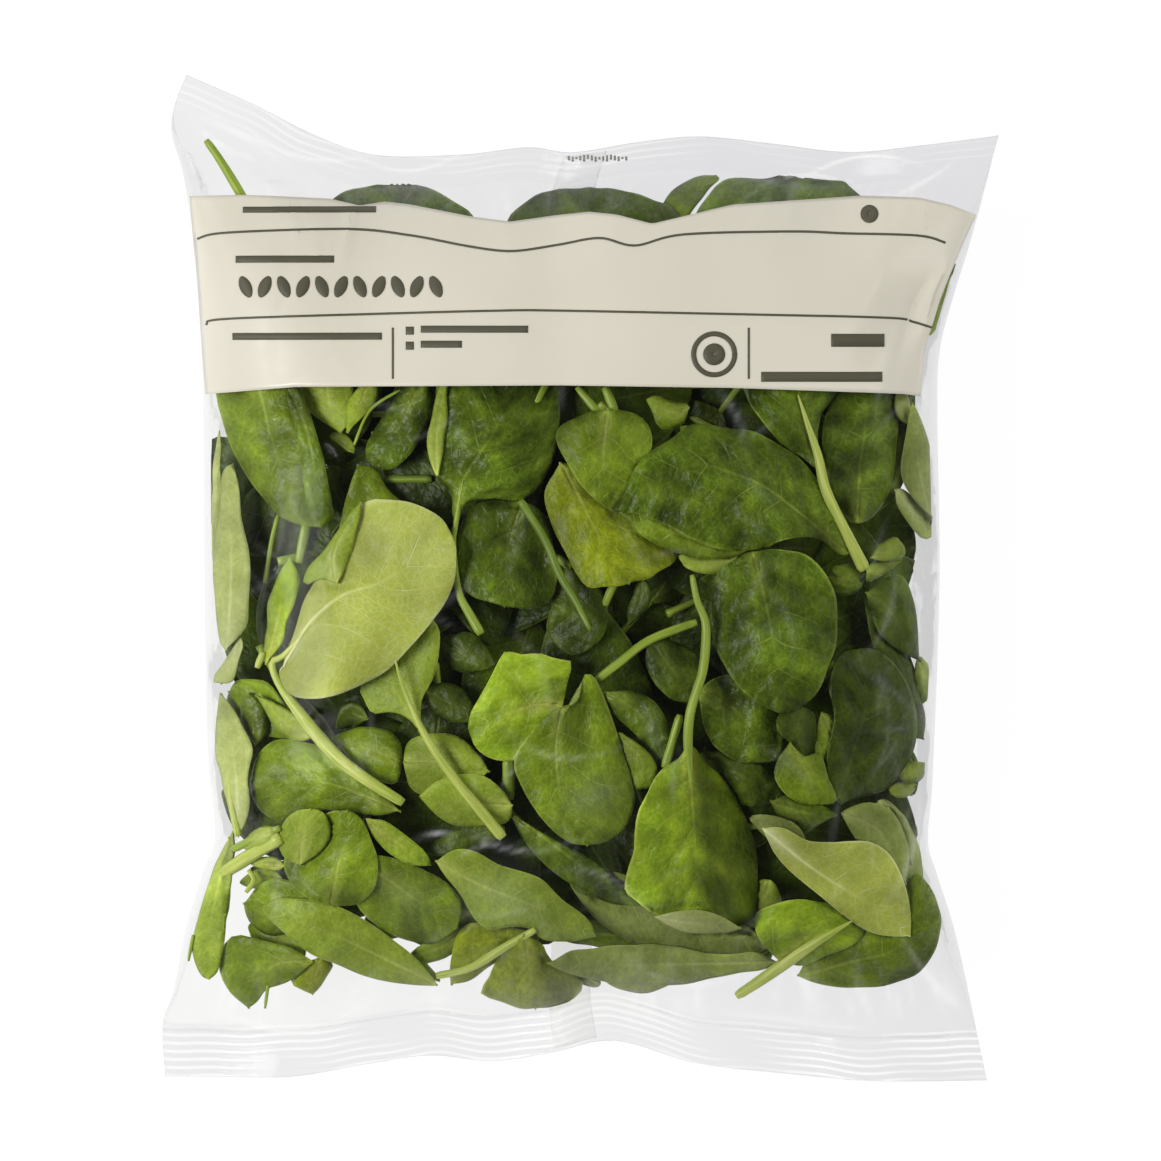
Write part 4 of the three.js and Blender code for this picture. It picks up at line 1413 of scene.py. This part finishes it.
# Stalks that show, by pixels of the photograph: finish, depth, path, and widths from one end to the other.
# One that runs on into a leaf starts thin there, as its midrib.
FRONT_STALKS = {
    "above the print": Stalk("green", 3, ((206, 140), (220, 160), (240, 193), (258, 225)), (8, 9, 11)),
    "under the print, thin": Stalk("green", 4, ((400, 390), (370, 410), (354, 445)), (3, 3)),
    "of the deep upper leaf": Stalk(
        "green", 4, ((463, 480), (456, 522), (453, 545), (458, 590), (470, 615), (481, 634)),
        (1.5, 5, 7, 8, 9)),
    "dark, across": Stalk("dark", 11, ((385, 479), (432, 479)), (8, 8)),
    "of the pale leaf": Stalk(
        "pale", 0.7, ((310, 625), (284, 655), (272, 665), (290, 700), (340, 760), (403, 803)),
        (2, 8, 13, 12, 10)),
    "stub, left": Stalk("pale", 2, ((263, 652), (257, 668)), (7, 7)),
    "behind, left": Stalk("green", 9, ((306, 524), (299, 563)), (10, 10)),
    "behind, far left": Stalk("green", 9, ((278, 515), (272, 540), (265, 583)), (5, 5)),
    "left edge, low": Stalk("pale", 1, ((228, 765), (231, 800), (238, 836)), (3, 7, 8)),
    "long, middle left": Stalk(
        "pale", 1.2, ((394, 655), (404, 690), (425, 735), (455, 780), (480, 810), (503, 838)),
        (1.5, 5, 9, 10, 11)),
    "stub, middle": Stalk("green", 6, ((509, 758), (508, 800)), (13, 13)),
    "from the print, left": Stalk("green", 3, ((577, 387), (598, 412)), (7, 8)),
    "from the print, right": Stalk("green", 3, ((605, 387), (615, 411)), (9, 9)),
    "bright, right": Stalk(
        "pale", 0.8, ((798, 395), (808, 425), (818, 455), (826, 490), (845, 530), (865, 570)),
        (2, 7, 10, 11, 13)),
    "long, of the low middle leaf": Stalk(
        "green", 0.7,
        ((692, 575), (697, 600), (705, 620), (706, 640), (703, 670), (697, 690), (690, 715), (688, 745),
         (691, 785)),
        (6, 7, 9, 9, 10, 9, 2)),
    "short, middle": Stalk("green", 3, ((680, 715), (665, 768)), (8, 9)),
    "diagonal, middle": Stalk("green", 6, ((597, 680), (620, 662), (650, 640), (697, 622)), (8, 9, 8)),
    "behind, middle": Stalk(
        "dark", 3.5, ((520, 500), (545, 540), (560, 575), (575, 600), (590, 630)),
        (8, 8, 5)),
    "bottom right": Stalk(
        "pale", 0.6, ((852, 921), (820, 940), (790, 960), (760, 981), (737, 996)),
        (2, 9, 12, 12, 10)),
    "bottom, yellowish": Stalk(
        "pale", 2.2, ((436, 976), (470, 968), (505, 947), (535, 930)),
        (8, 8, 9, 7)),
    "low left, pale": Stalk("pale", 0.8, ((222, 874), (250, 856), (280, 838)), (13, 14, 14)),
    "low left, second": Stalk("green", 1.5, ((232, 850), (262, 835), (280, 828)), (8, 7)),
    "low left, curved": Stalk("pale", 2, ((248, 870), (254, 880), (246, 892)), (5, 5)),
    "bottom left, tiny": Stalk("green", 3, ((268, 985), (265, 1008)), (4, 3)),
    "left corner, thin": Stalk("green", 2, ((190, 935), (182, 960)), (4, 3)),
}


def uneven(x, y, seed, size=16):
    """Soft unevenness between about -1 and 1 over a given size, the same for the same seed."""
    rng = np.random.default_rng(seed)
    total = np.zeros(np.broadcast(x, y).shape)
    for _ in range(4):
        turn = rng.uniform(0, np.pi)
        length = size * rng.uniform(0.7, 1.6)
        run = x * math.cos(turn) + y * math.sin(turn)
        total = total + np.sin(2 * np.pi * run / length + rng.uniform(0, 6.28))
    return total / 3


def leaf_relief(across, along, edge, crinkle, seed):
    """The count of side veins up to each point, and the height there over the leaf's middle surface."""
    order = (along - VEIN_SLANT * np.abs(across) + 2.2 * uneven(across, along, seed, 22)) / VEIN_PITCH
    between_veins = np.abs(np.sin(np.pi * order)) ** 0.8 - 0.45
    quilt = between_veins * smooth(np.abs(across) / 4) * (1 - 0.55 * edge**2)
    creases = 0.45 - np.abs(uneven(across, along, seed + 1, 22))
    wrinkles = 0.45 - np.abs(uneven(across, along, seed + 6, 9))
    rib = np.exp(-(across / 1.1) ** 2) * np.clip(1.2 - 0.025 * along, 0.2, 1)
    ripple = edge**2 * uneven(across * 0.3, along, seed + 2, 13)
    swell = uneven(across, along, seed + 8, 27)
    crinkled = crinkle * (0.75 * quilt + creases + 0.42 * wrinkles)
    return order, crinkled - 0.3 * rib + 0.5 * ripple + 0.9 * swell


SIDE_MARGIN, SEAL_MARGIN = 0.012, 0.004  # shares of the bag's width and length that are kept free of leaves


def held_inside(x, y):
    """The places, with those past the sides or in the seals brought inside the filled part of the bag."""
    across, along = shares_at(x, y)
    across = np.clip(across, SIDE_MARGIN, 1 - SIDE_MARGIN)
    along = np.clip(along, SEALED_BELOW + SEAL_MARGIN, SEALED_ABOVE - SEAL_MARGIN)
    spot = place(across, along)
    return spot[..., 0], spot[..., 1]


def held_between(x, y, z, skin=CLEARANCE):
    """Heights kept between the back and the front of the film."""
    low = sampled(grid_back, x, y) + CLEARANCE + LEAF_THICKNESS
    high = sampled(grid_front, x, y) - skin
    middle = (low + high) / 2
    return np.clip(z, np.minimum(low, middle), np.maximum(high, middle))


def leaf_run(share, side, long, across):
    """The length, its share, and how near the edge is, at each point of a leaf."""
    along = np.broadcast_to(share[:, None] * long, across.shape)
    along_share = np.broadcast_to(share[:, None], across.shape)
    return along, along_share, np.broadcast_to(np.abs(side), across.shape)


def add_leaf(heap, points, run, across, order, relief, shade, upside_down=False, painted_half_shade=0):
    """Both skins of one leaf, with what its finish needs to know at each point."""
    along, along_share, edge = run
    relief = relief - relief.mean()
    solid, quads = sheet_solid(points, LEAF_THICKNESS)
    veins = np.stack([order, across, along], -1).reshape(-1, 3)
    outward = np.stack([along_share, np.full(across.shape, shade), edge], -1).reshape(-1, 3)
    under = np.zeros((2 * across.size, 3))
    under[across.size:, 0] = 1.0
    # The relief, for painted shade in hollows and a painted highlight on crests, and how far each half is
    # turned away, for painted shade
    under[:, 1] = np.tile(np.clip(0.5 + 0.36 * relief.ravel(), 0, 1), 2)
    under[:, 2] = np.tile(np.broadcast_to(painted_half_shade, across.shape).ravel(), 2)
    if upside_down:
        under[:, 0] = 1.0 - under[:, 0]
    heap.add(solid, quads, veins=np.vstack([veins, veins]), run=np.vstack([outward, outward]), under=under)


def half_turn_share(turn):
    """Shares that lie closer together at both ends, from shares of a half turn."""
    return (1 - np.cos(np.pi * turn)) / 2


def margin_points(shape, widths_or_points, turn, middle, leftward, sign):
    """One margin of a leaf at each row, from its points or from its half widths."""
    if np.ndim(widths_or_points[0]):
        points = (shape.midrib[0], *widths_or_points, shape.midrib[-1])
        return curve_through(points)[0](half_turn_share(turn))
    width = np.maximum(profile_through((0, *widths_or_points, 0), turn), 0)
    return middle + sign * leftward * width[:, None]


def front_leaf(heap, shape, seed):
    """A leaf close under the film, placed by pixels of the photograph."""
    rng = np.random.default_rng(seed)
    length_at, pixels_long = curve_through(shape.midrib)
    long = pixels_long * MM_PER_PIXEL
    rows = int(np.clip(long, *LEAF_ROWS))
    turn = np.linspace(ROWS_FROM, ROWS_TO, rows)
    share = half_turn_share(turn)
    middle = length_at(share)
    ahead = np.gradient(middle, axis=0)
    ahead /= np.linalg.norm(ahead, axis=1, keepdims=True)
    leftward = np.stack([ahead[:, 1], -ahead[:, 0]], -1)
    left_margin = margin_points(shape, shape.left, turn, middle, leftward, 1)
    right_margin = margin_points(shape, shape.right, turn, middle, leftward, -1)
    widest = np.linalg.norm(left_margin - right_margin, axis=1).max() * MM_PER_PIXEL
    columns = 2 * int(np.clip(widest / COLUMN_PITCH, *HALF_COLUMNS)) + 1
    side = np.linspace(-1, 1, columns)[None, :, None]
    reach = np.where(side < 0, (left_margin - middle)[:, None], (right_margin - middle)[:, None])
    grid = middle[:, None] + reach * np.abs(side)
    side = side[..., 0]
    across = np.sign(side) * np.linalg.norm(reach * np.abs(side)[..., None], axis=-1) * MM_PER_PIXEL
    grid = grid + 1.1 * (np.abs(side) ** 2 * uneven(across, share[:, None] * long, seed + 5, 12))[..., None]
    run = leaf_run(share, side, long, across)
    along, _, edge = run
    order, relief = leaf_relief(across, along, edge, CRINKLE[shape.kind], seed)
    room = min(1.0, 0.35 + 0.3 * shape.depth)
    tilt = rng.uniform(-1.3, 1.3) * room
    fold = rng.uniform(0.02, 0.15) * np.abs(across) * (shape.kind != "pale")
    fold = fold + abs(shape.fall) * np.maximum(side * np.sign(shape.fall), 0) * widest / 2
    droop = (0.4 + 0.5 * room) * edge**3 * (0.3 if shape.kind == "pale" else 1)
    bow = 1.3 * uneven(across, along, seed + 3, 50) * room
    depth = 0.5 + DEPTH_STEP * shape.depth
    if shape.kind == "pale":
        relief = -relief + 0.5 * np.exp(-(across / 0.9) ** 2) * np.clip(1.4 - along / 28, 0, 1)
    x, y = held_inside(*on_film(grid, depth)[:2])
    base_height = sampled(grid_front, x, y) - depth - 0.9
    z = under_others(x, y, base_height + relief - droop - fold + tilt * side + bow)
    z = held_between(x, y, z)
    lay_over(x, y, z)
    # Painted shade: the half that falls away is drawn darker
    painted_half_shade = smooth(4 * side * np.sign(shape.fall))
    points = np.stack([x, y, z], -1)
    add_leaf(heap, points, run, across, order, relief, rng.uniform(0.25, 0.75), shape.kind == "pale", painted_half_shade)


STALK_SIDES = 10
STALK_FLATNESS = 0.85
STALK_STEP = 5  # pixels


def add_stalk(heap, x, y, z, radii, seed):
    """One stalk, with the way round it and along it kept at each point."""
    path = np.stack([x, y, z], -1)
    points, quads = tube_solid(path, radii, STALK_FLATNESS, STALK_SIDES)
    turn = np.tile(np.linspace(0, 2 * np.pi, STALK_SIDES, endpoint=False), len(path))
    travelled = np.concatenate([[0], np.cumsum(np.linalg.norm(np.diff(path, axis=0), axis=1))])
    veins = np.stack([turn + seed, np.repeat(travelled, STALK_SIDES), np.full(len(turn), float(seed))], -1)
    heap.add(points, quads, veins=veins)


def front_stalk(heap, shape, seed):
    """A stalk close under the film, placed by pixels of the photograph."""
    length_at, pixels_long = curve_through(shape.path)
    steps = max(6, int(pixels_long / STALK_STEP))
    share = np.linspace(0, 1, steps)
    radii = profile_through(shape.widths, share) * MM_PER_PIXEL / 2
    radii = radii * (1 + 0.05 * np.sin(share * 9 + seed))
    radii[0] *= 0.75
    radii[-1] *= 0.8
    depth = 0.3 + DEPTH_STEP * shape.depth
    x, y = held_inside(*on_film(length_at(share), depth)[:2])
    height = sampled(grid_front, x, y) - depth - radii
    z = np.maximum(height, sampled(grid_back, x, y) + radii + CLEARANCE)
    add_stalk(heap, x, y, z, radii, seed)


FRONT_LEAF_SEED, FRONT_STALK_SEED, HEAP_SEED = 100, 500, 1000  # each leaf and stalk counts on from these
# The shaded and filling finishes are darker copies of the others: painted shade for leaves that lie deep
LEAF_FINISHES = {
    "fresh": LeafFinish("#93A636", "#7C9226", "#BECB62", "#9CAA5A", 0.42, 0.35, 0.3, 0.12),
    "bright": LeafFinish("#8FA724", "#6E8A18", "#C2CC56", "#A3B158", 0.38, 0.6, 0.5, 0.14),
    "mid": LeafFinish("#70841A", "#586C12", "#A0B048", "#889650", 0.38, 0.45, 0.5, 0.15),
    "deep": LeafFinish("#586C16", "#3D500C", "#8A9C38", "#6F7E40", 0.34, 0.7, 0.6, 0.18),
    "olive": LeafFinish("#8A9614", "#68760A", "#AEB848", "#929E3C", 0.4, 0.4, 0.4, 0.2),
    "sage": LeafFinish("#A3AC62", "#8E984F", "#C2C98A", "#9DA668", 0.48, 0.2, 0.25, 0.1),
    "pale": LeafFinish("#8FA544", "#8C9F42", "#E6E8AC", "#ADB64C", 0.48, 0.2, 0.25, 0.06),
    "haze": LeafFinish("#889648", "#728038", "#AAB468", "#98A462", 0.48, 0.3, 0.35, 0.12),
    "shaded": LeafFinish("#46560E", "#2C3A08", "#66762A", "#5C6C34", 0.4, 0.6, 0.55, 0.16),
    "filling": LeafFinish("#44560A", "#2A3906", "#667624", "#5C6C34", 0.38, 0.5, 0.45, 0.16),
}
STALK_FINISHES = {
    "pale": ("#C8D06C", "#9AAE40"),
    "green": ("#A3B845", "#78902F"),
    "dark": ("#7C922F", "#5A7220"),
}


def make_front_leaves():
    """The leaves that lie under the front, one piece for each finish."""
    heaps = {kind: Heap() for kind in LEAF_FINISHES if kind != "filling"}
    numbered = enumerate(FRONT_LEAVES.values())
    for number, shape in sorted(numbered, key=lambda pair: pair[1].depth):
        front_leaf(heaps[shape.kind], shape, FRONT_LEAF_SEED + 7 * number)
    for kind, heap in heaps.items():
        piece = heap.build(f"leaves_{kind}", spinach_leaf(f"spinach leaf, {kind}", LEAF_FINISHES[kind]))


def make_front_stalks():
    """The stalks that lie under the front, one piece for each finish."""
    heaps = {kind: Heap() for kind in STALK_FINISHES}
    for number, shape in enumerate(FRONT_STALKS.values()):
        front_stalk(heaps[shape.kind], shape, FRONT_STALK_SEED + number)
    for kind, heap in heaps.items():
        piece = heap.build(f"stalks_{kind}", spinach_stalk(f"spinach stalk, {kind}", *STALK_FINISHES[kind]))


# The leaves that fill the bag behind those

FILLING_SEED = 11
FILLING_COUNT = 190
FILLING_LEAF_LONG, FILLING_LEAF_HALF = (42, 66), (13, 20)  # shortest and longest, and half the width
FILLING_LEAF_FORM = (0, 0.42, 0.86, 1.0, 0.82, 0.44, 0)  # share of the half width from base to tip
FILLING_ROWS, FILLING_COLUMNS = 19, 11
FILLING_TOP = 107  # mm from the middle of the bag to the top of the heap
FILLING_RIGHT = 99  # mm from the middle of the bag to its right side, on average
FILLING_RIGHT_WAVE = 2.5  # mm to either side of that
FILLING_DEPTH = 20  # mm under the front that its leaves' places are seen at
FRONT_ROOM = 17.0  # mm under the front that are left for the leaves that show
STALKS_OUT = 98  # mm that its stalks may reach to either side
STALK_ROOM = 9.0  # mm between them and the front
FILLING_STALK_LONG, FILLING_STALK_RADII, FILLING_STALK_POINTS = (12, 30), (0.9, 1.3), 9
FILLING_COLUMN, FILLING_ROW = (215, 930), (190, 935)  # pixels that its leaves' middles lie between
LEAF_REACH = 62  # pixels round a leaf's middle that lie in the outline for the most part
LEAF_INSIDE = 0.62  # share of them
FILLING_OUTLINE = (
    (228, 420), (232, 470), (238, 560), (258, 600), (262, 650), (258, 700), (240, 745), (244, 800),
    (258, 845), (300, 885), (400, 905), (520, 905), (640, 925), (760, 930), (850, 930), (895, 900),
    (885, 860), (865, 815), (885, 793), (905, 770), (918, 745), (922, 700), (915, 620), (905, 575),
    (915, 520), (912, 460), (905, 400), (905, 330), (880, 250), (850, 208), (800, 188), (700, 196),
    (640, 205), (545, 198), (440, 198), (400, 194), (345, 205), (300, 260), (250, 330),
)


def inside_outline(columns, rows, outline):
    """Whether pixels lie inside a closed outline."""
    held = np.zeros(np.shape(columns), bool)
    for (x0, y0), (x1, y1) in zip(outline, outline[1:] + outline[:1]):
        crosses = (np.asarray(rows) < y0) != (np.asarray(rows) < y1)
        with np.errstate(divide="ignore", invalid="ignore"):
            meets = x0 + (np.asarray(rows) - y0) * (x1 - x0) / (y1 - y0 if y1 != y0 else 1)
        held ^= crosses & (np.asarray(columns) < meets)
    return held


def filling_leaf(heap, stalks, x_middle, y_middle, level, rng, seed):
    """One leaf in the heap, bent and tilted, between the back and the leaves at the front."""
    long = rng.uniform(*FILLING_LEAF_LONG)
    half = rng.uniform(*FILLING_LEAF_HALF)
    turn = np.linspace(0, 1, FILLING_ROWS)
    share = half_turn_share(turn)
    width = np.maximum(profile_through(FILLING_LEAF_FORM, turn), 0.02) * half
    side = np.linspace(-1, 1, FILLING_COLUMNS)[None, :]
    across = side * width[:, None]
    run = leaf_run(share, side, long, across)
    along, _, edge = run
    order, relief = leaf_relief(across, along, edge, CRINKLE["filling"], seed)
    swing = rng.uniform(-0.25, 0.25)
    u = across + swing * along**2 / long
    v = along - long / 2
    w = relief + rng.uniform(-0.012, 0.02) * across**2 + rng.uniform(-0.005, 0.007) * v**2
    w = w + 2.2 * uneven(across, along, seed + 4, 40)
    yaw, pitch, roll = rng.uniform(0, 2 * np.pi), rng.normal(0, 0.28), rng.normal(0, 0.35)
    u, w = u * math.cos(roll) - w * math.sin(roll), u * math.sin(roll) + w * math.cos(roll)
    v, w = v * math.cos(pitch) - w * math.sin(pitch), v * math.sin(pitch) + w * math.cos(pitch)
    x = x_middle + u * math.cos(yaw) - v * math.sin(yaw)
    y = y_middle + u * math.sin(yaw) + v * math.cos(yaw)
    right_side = FILLING_RIGHT + FILLING_RIGHT_WAVE * np.sin(y / 7)
    x, y = held_inside(np.minimum(x, right_side), np.minimum(y, FILLING_TOP - 0.05 * np.abs(x)))
    low = sampled(grid_back, x, y) + CLEARANCE + LEAF_THICKNESS
    high = sampled(grid_front, x, y)
    high = high - np.minimum(FRONT_ROOM, 0.5 * (high - low))
    back, front = sampled(grid_back, x_middle, y_middle), sampled(grid_front, x_middle, y_middle)
    middle_height = float(lerp(back, front, level))
    share_up = (middle_height + w - low) / np.maximum(high - low, 1)
    z = low + (high - low) * (0.5 + 0.5 * np.tanh(1.5 * (share_up - 0.5)) / np.tanh(1.5 * 0.75))
    z = np.clip(under_others(x, y, z), np.minimum(low, high), high)
    points = np.stack([x, y, z], -1)
    add_leaf(heap, points, run, across, order, relief, rng.uniform(0, 1))
    base_x, base_y, base_z = points[0, FILLING_COLUMNS // 2]
    reach = np.linspace(0, rng.uniform(*FILLING_STALK_LONG), FILLING_STALK_POINTS)
    heading = yaw - math.pi / 2 + rng.uniform(-0.3, 0.3)
    stalk_x, stalk_y = held_inside(base_x + reach * math.cos(heading), base_y + reach * math.sin(heading))
    stalk_z = held_between(stalk_x, stalk_y, base_z - reach * math.sin(pitch), STALK_ROOM)
    if np.abs(stalk_y).max() > FILLING_TOP or np.abs(stalk_x).max() > STALKS_OUT:
        return
    radii = np.linspace(*FILLING_STALK_RADII, FILLING_STALK_POINTS)
    add_stalk(stalks, stalk_x, stalk_y, stalk_z, radii, seed)


def make_filling():
    """The heap of leaves behind the front ones, seeded, and dense enough to shut the light out."""
    rng = np.random.default_rng(FILLING_SEED)
    leaves, stalks = Heap(), Heap()
    placed = 0
    while placed < FILLING_COUNT:
        column, row = rng.uniform(*FILLING_COLUMN), rng.uniform(*FILLING_ROW)
        if not inside_outline(column, row, FILLING_OUTLINE):
            continue
        ring = np.linspace(0, 2 * np.pi, 12)
        columns, rows = column + LEAF_REACH * np.cos(ring), row + LEAF_REACH * np.sin(ring)
        if inside_outline(columns, rows, FILLING_OUTLINE).mean() < LEAF_INSIDE:
            continue
        x, y = on_film((column, row), FILLING_DEPTH)[:2]
        level = rng.uniform(0.0, 0.95)
        filling_leaf(leaves, stalks, float(x), float(y), level, rng, HEAP_SEED + 11 * placed)
        placed += 1
    # Its finish is darker, as painted shade for leaves deep in the heap
    piece = leaves.build("leaves_filling", spinach_leaf("spinach leaf, filling", LEAF_FINISHES["filling"]))
    thin = stalks.build("stalks_filling", spinach_stalk("spinach stalk, filling", *STALK_FINISHES["green"]))


# Floor, lights and camera

def make_floor():
    """A large lit sheet under the bag."""
    reach = 2.5
    mesh = bpy.data.meshes.new("floor")
    corners = [(-reach, -reach, 0), (reach, -reach, 0), (reach, reach, 0), (-reach, reach, 0)]
    mesh.from_pydata(corners, [], [(0, 1, 2, 3)])
    mesh.materials.append(light_table())
    floor = bpy.data.objects.new("floor", mesh)
    bpy.context.collection.objects.link(floor)


def soft_box(name, place_at, size, watts, seen_in_gloss):
    """A soft box light that faces the bag. One that isn't seen in gloss leaves no patch on the film."""
    light = bpy.data.lights.new(name, "AREA")
    light.shape = "RECTANGLE"
    light.size, light.size_y = size
    light.energy = watts
    box = bpy.data.objects.new(name, light)
    bpy.context.collection.objects.link(box)
    box.visible_glossy = seen_in_gloss
    box.location = place_at
    aim = Vector((0, 0, 0.03)) - Vector(place_at)
    box.rotation_euler = aim.to_track_quat("-Z", "Y").to_euler()


def make_lights():
    """A key light on the left, a weaker one on the right, and a bright ring round a dark ceiling."""
    soft_box("key_light", (-1.4, -0.1, 1.5), (0.9, 0.9), 40, True)
    soft_box("right_light", (1.5, 0.7, 1.3), (1.2, 1.2), 26, False)
    world = bpy.data.worlds.new("studio")
    world.use_nodes = True
    tree = world.node_tree
    tree.nodes.clear()
    way = node(tree, "TexCoord").outputs["Generated"]
    height = node(tree, "SeparateXYZ", {0: way}).outputs[2]
    ring = node(tree, "MapRange", {
        "Value": height, "From Min": 0.3, "From Max": 0.62, "To Min": 0.55, "To Max": 0.05,
    }, interpolation_type="SMOOTHSTEP")
    sky = node(tree, "Background", {"Color": linear("#FFFFFF"), "Strength": ring.outputs[0]})
    node(tree, "OutputWorld", {"Surface": sky.outputs[0]})
    bpy.context.scene.world = world
    bpy.context.scene.view_settings.view_transform = "Standard"


def make_camera():
    """Straight down, from where the photograph's frame fits at the height of the bag's outline."""
    camera = bpy.data.cameras.new("camera")
    camera.sensor_width = SENSOR_WIDTH
    camera.lens = SENSOR_WIDTH * (CAMERA_HEIGHT - OUTLINE_HEIGHT) / (PHOTO_WIDTH * MM_PER_PIXEL)
    camera.clip_end = 10
    seat = bpy.data.objects.new("camera", camera)
    bpy.context.collection.objects.link(seat)
    seat.location = (np.array([0, MM_PER_PIXEL, CAMERA_HEIGHT]) - MIDDLE) * MM
    bpy.context.scene.camera = seat


make_film()
make_back_seam()
make_print()
make_ink()
make_date_strip()
make_front_leaves()
make_front_stalks()
make_filling()
make_floor()
make_lights()
make_camera()
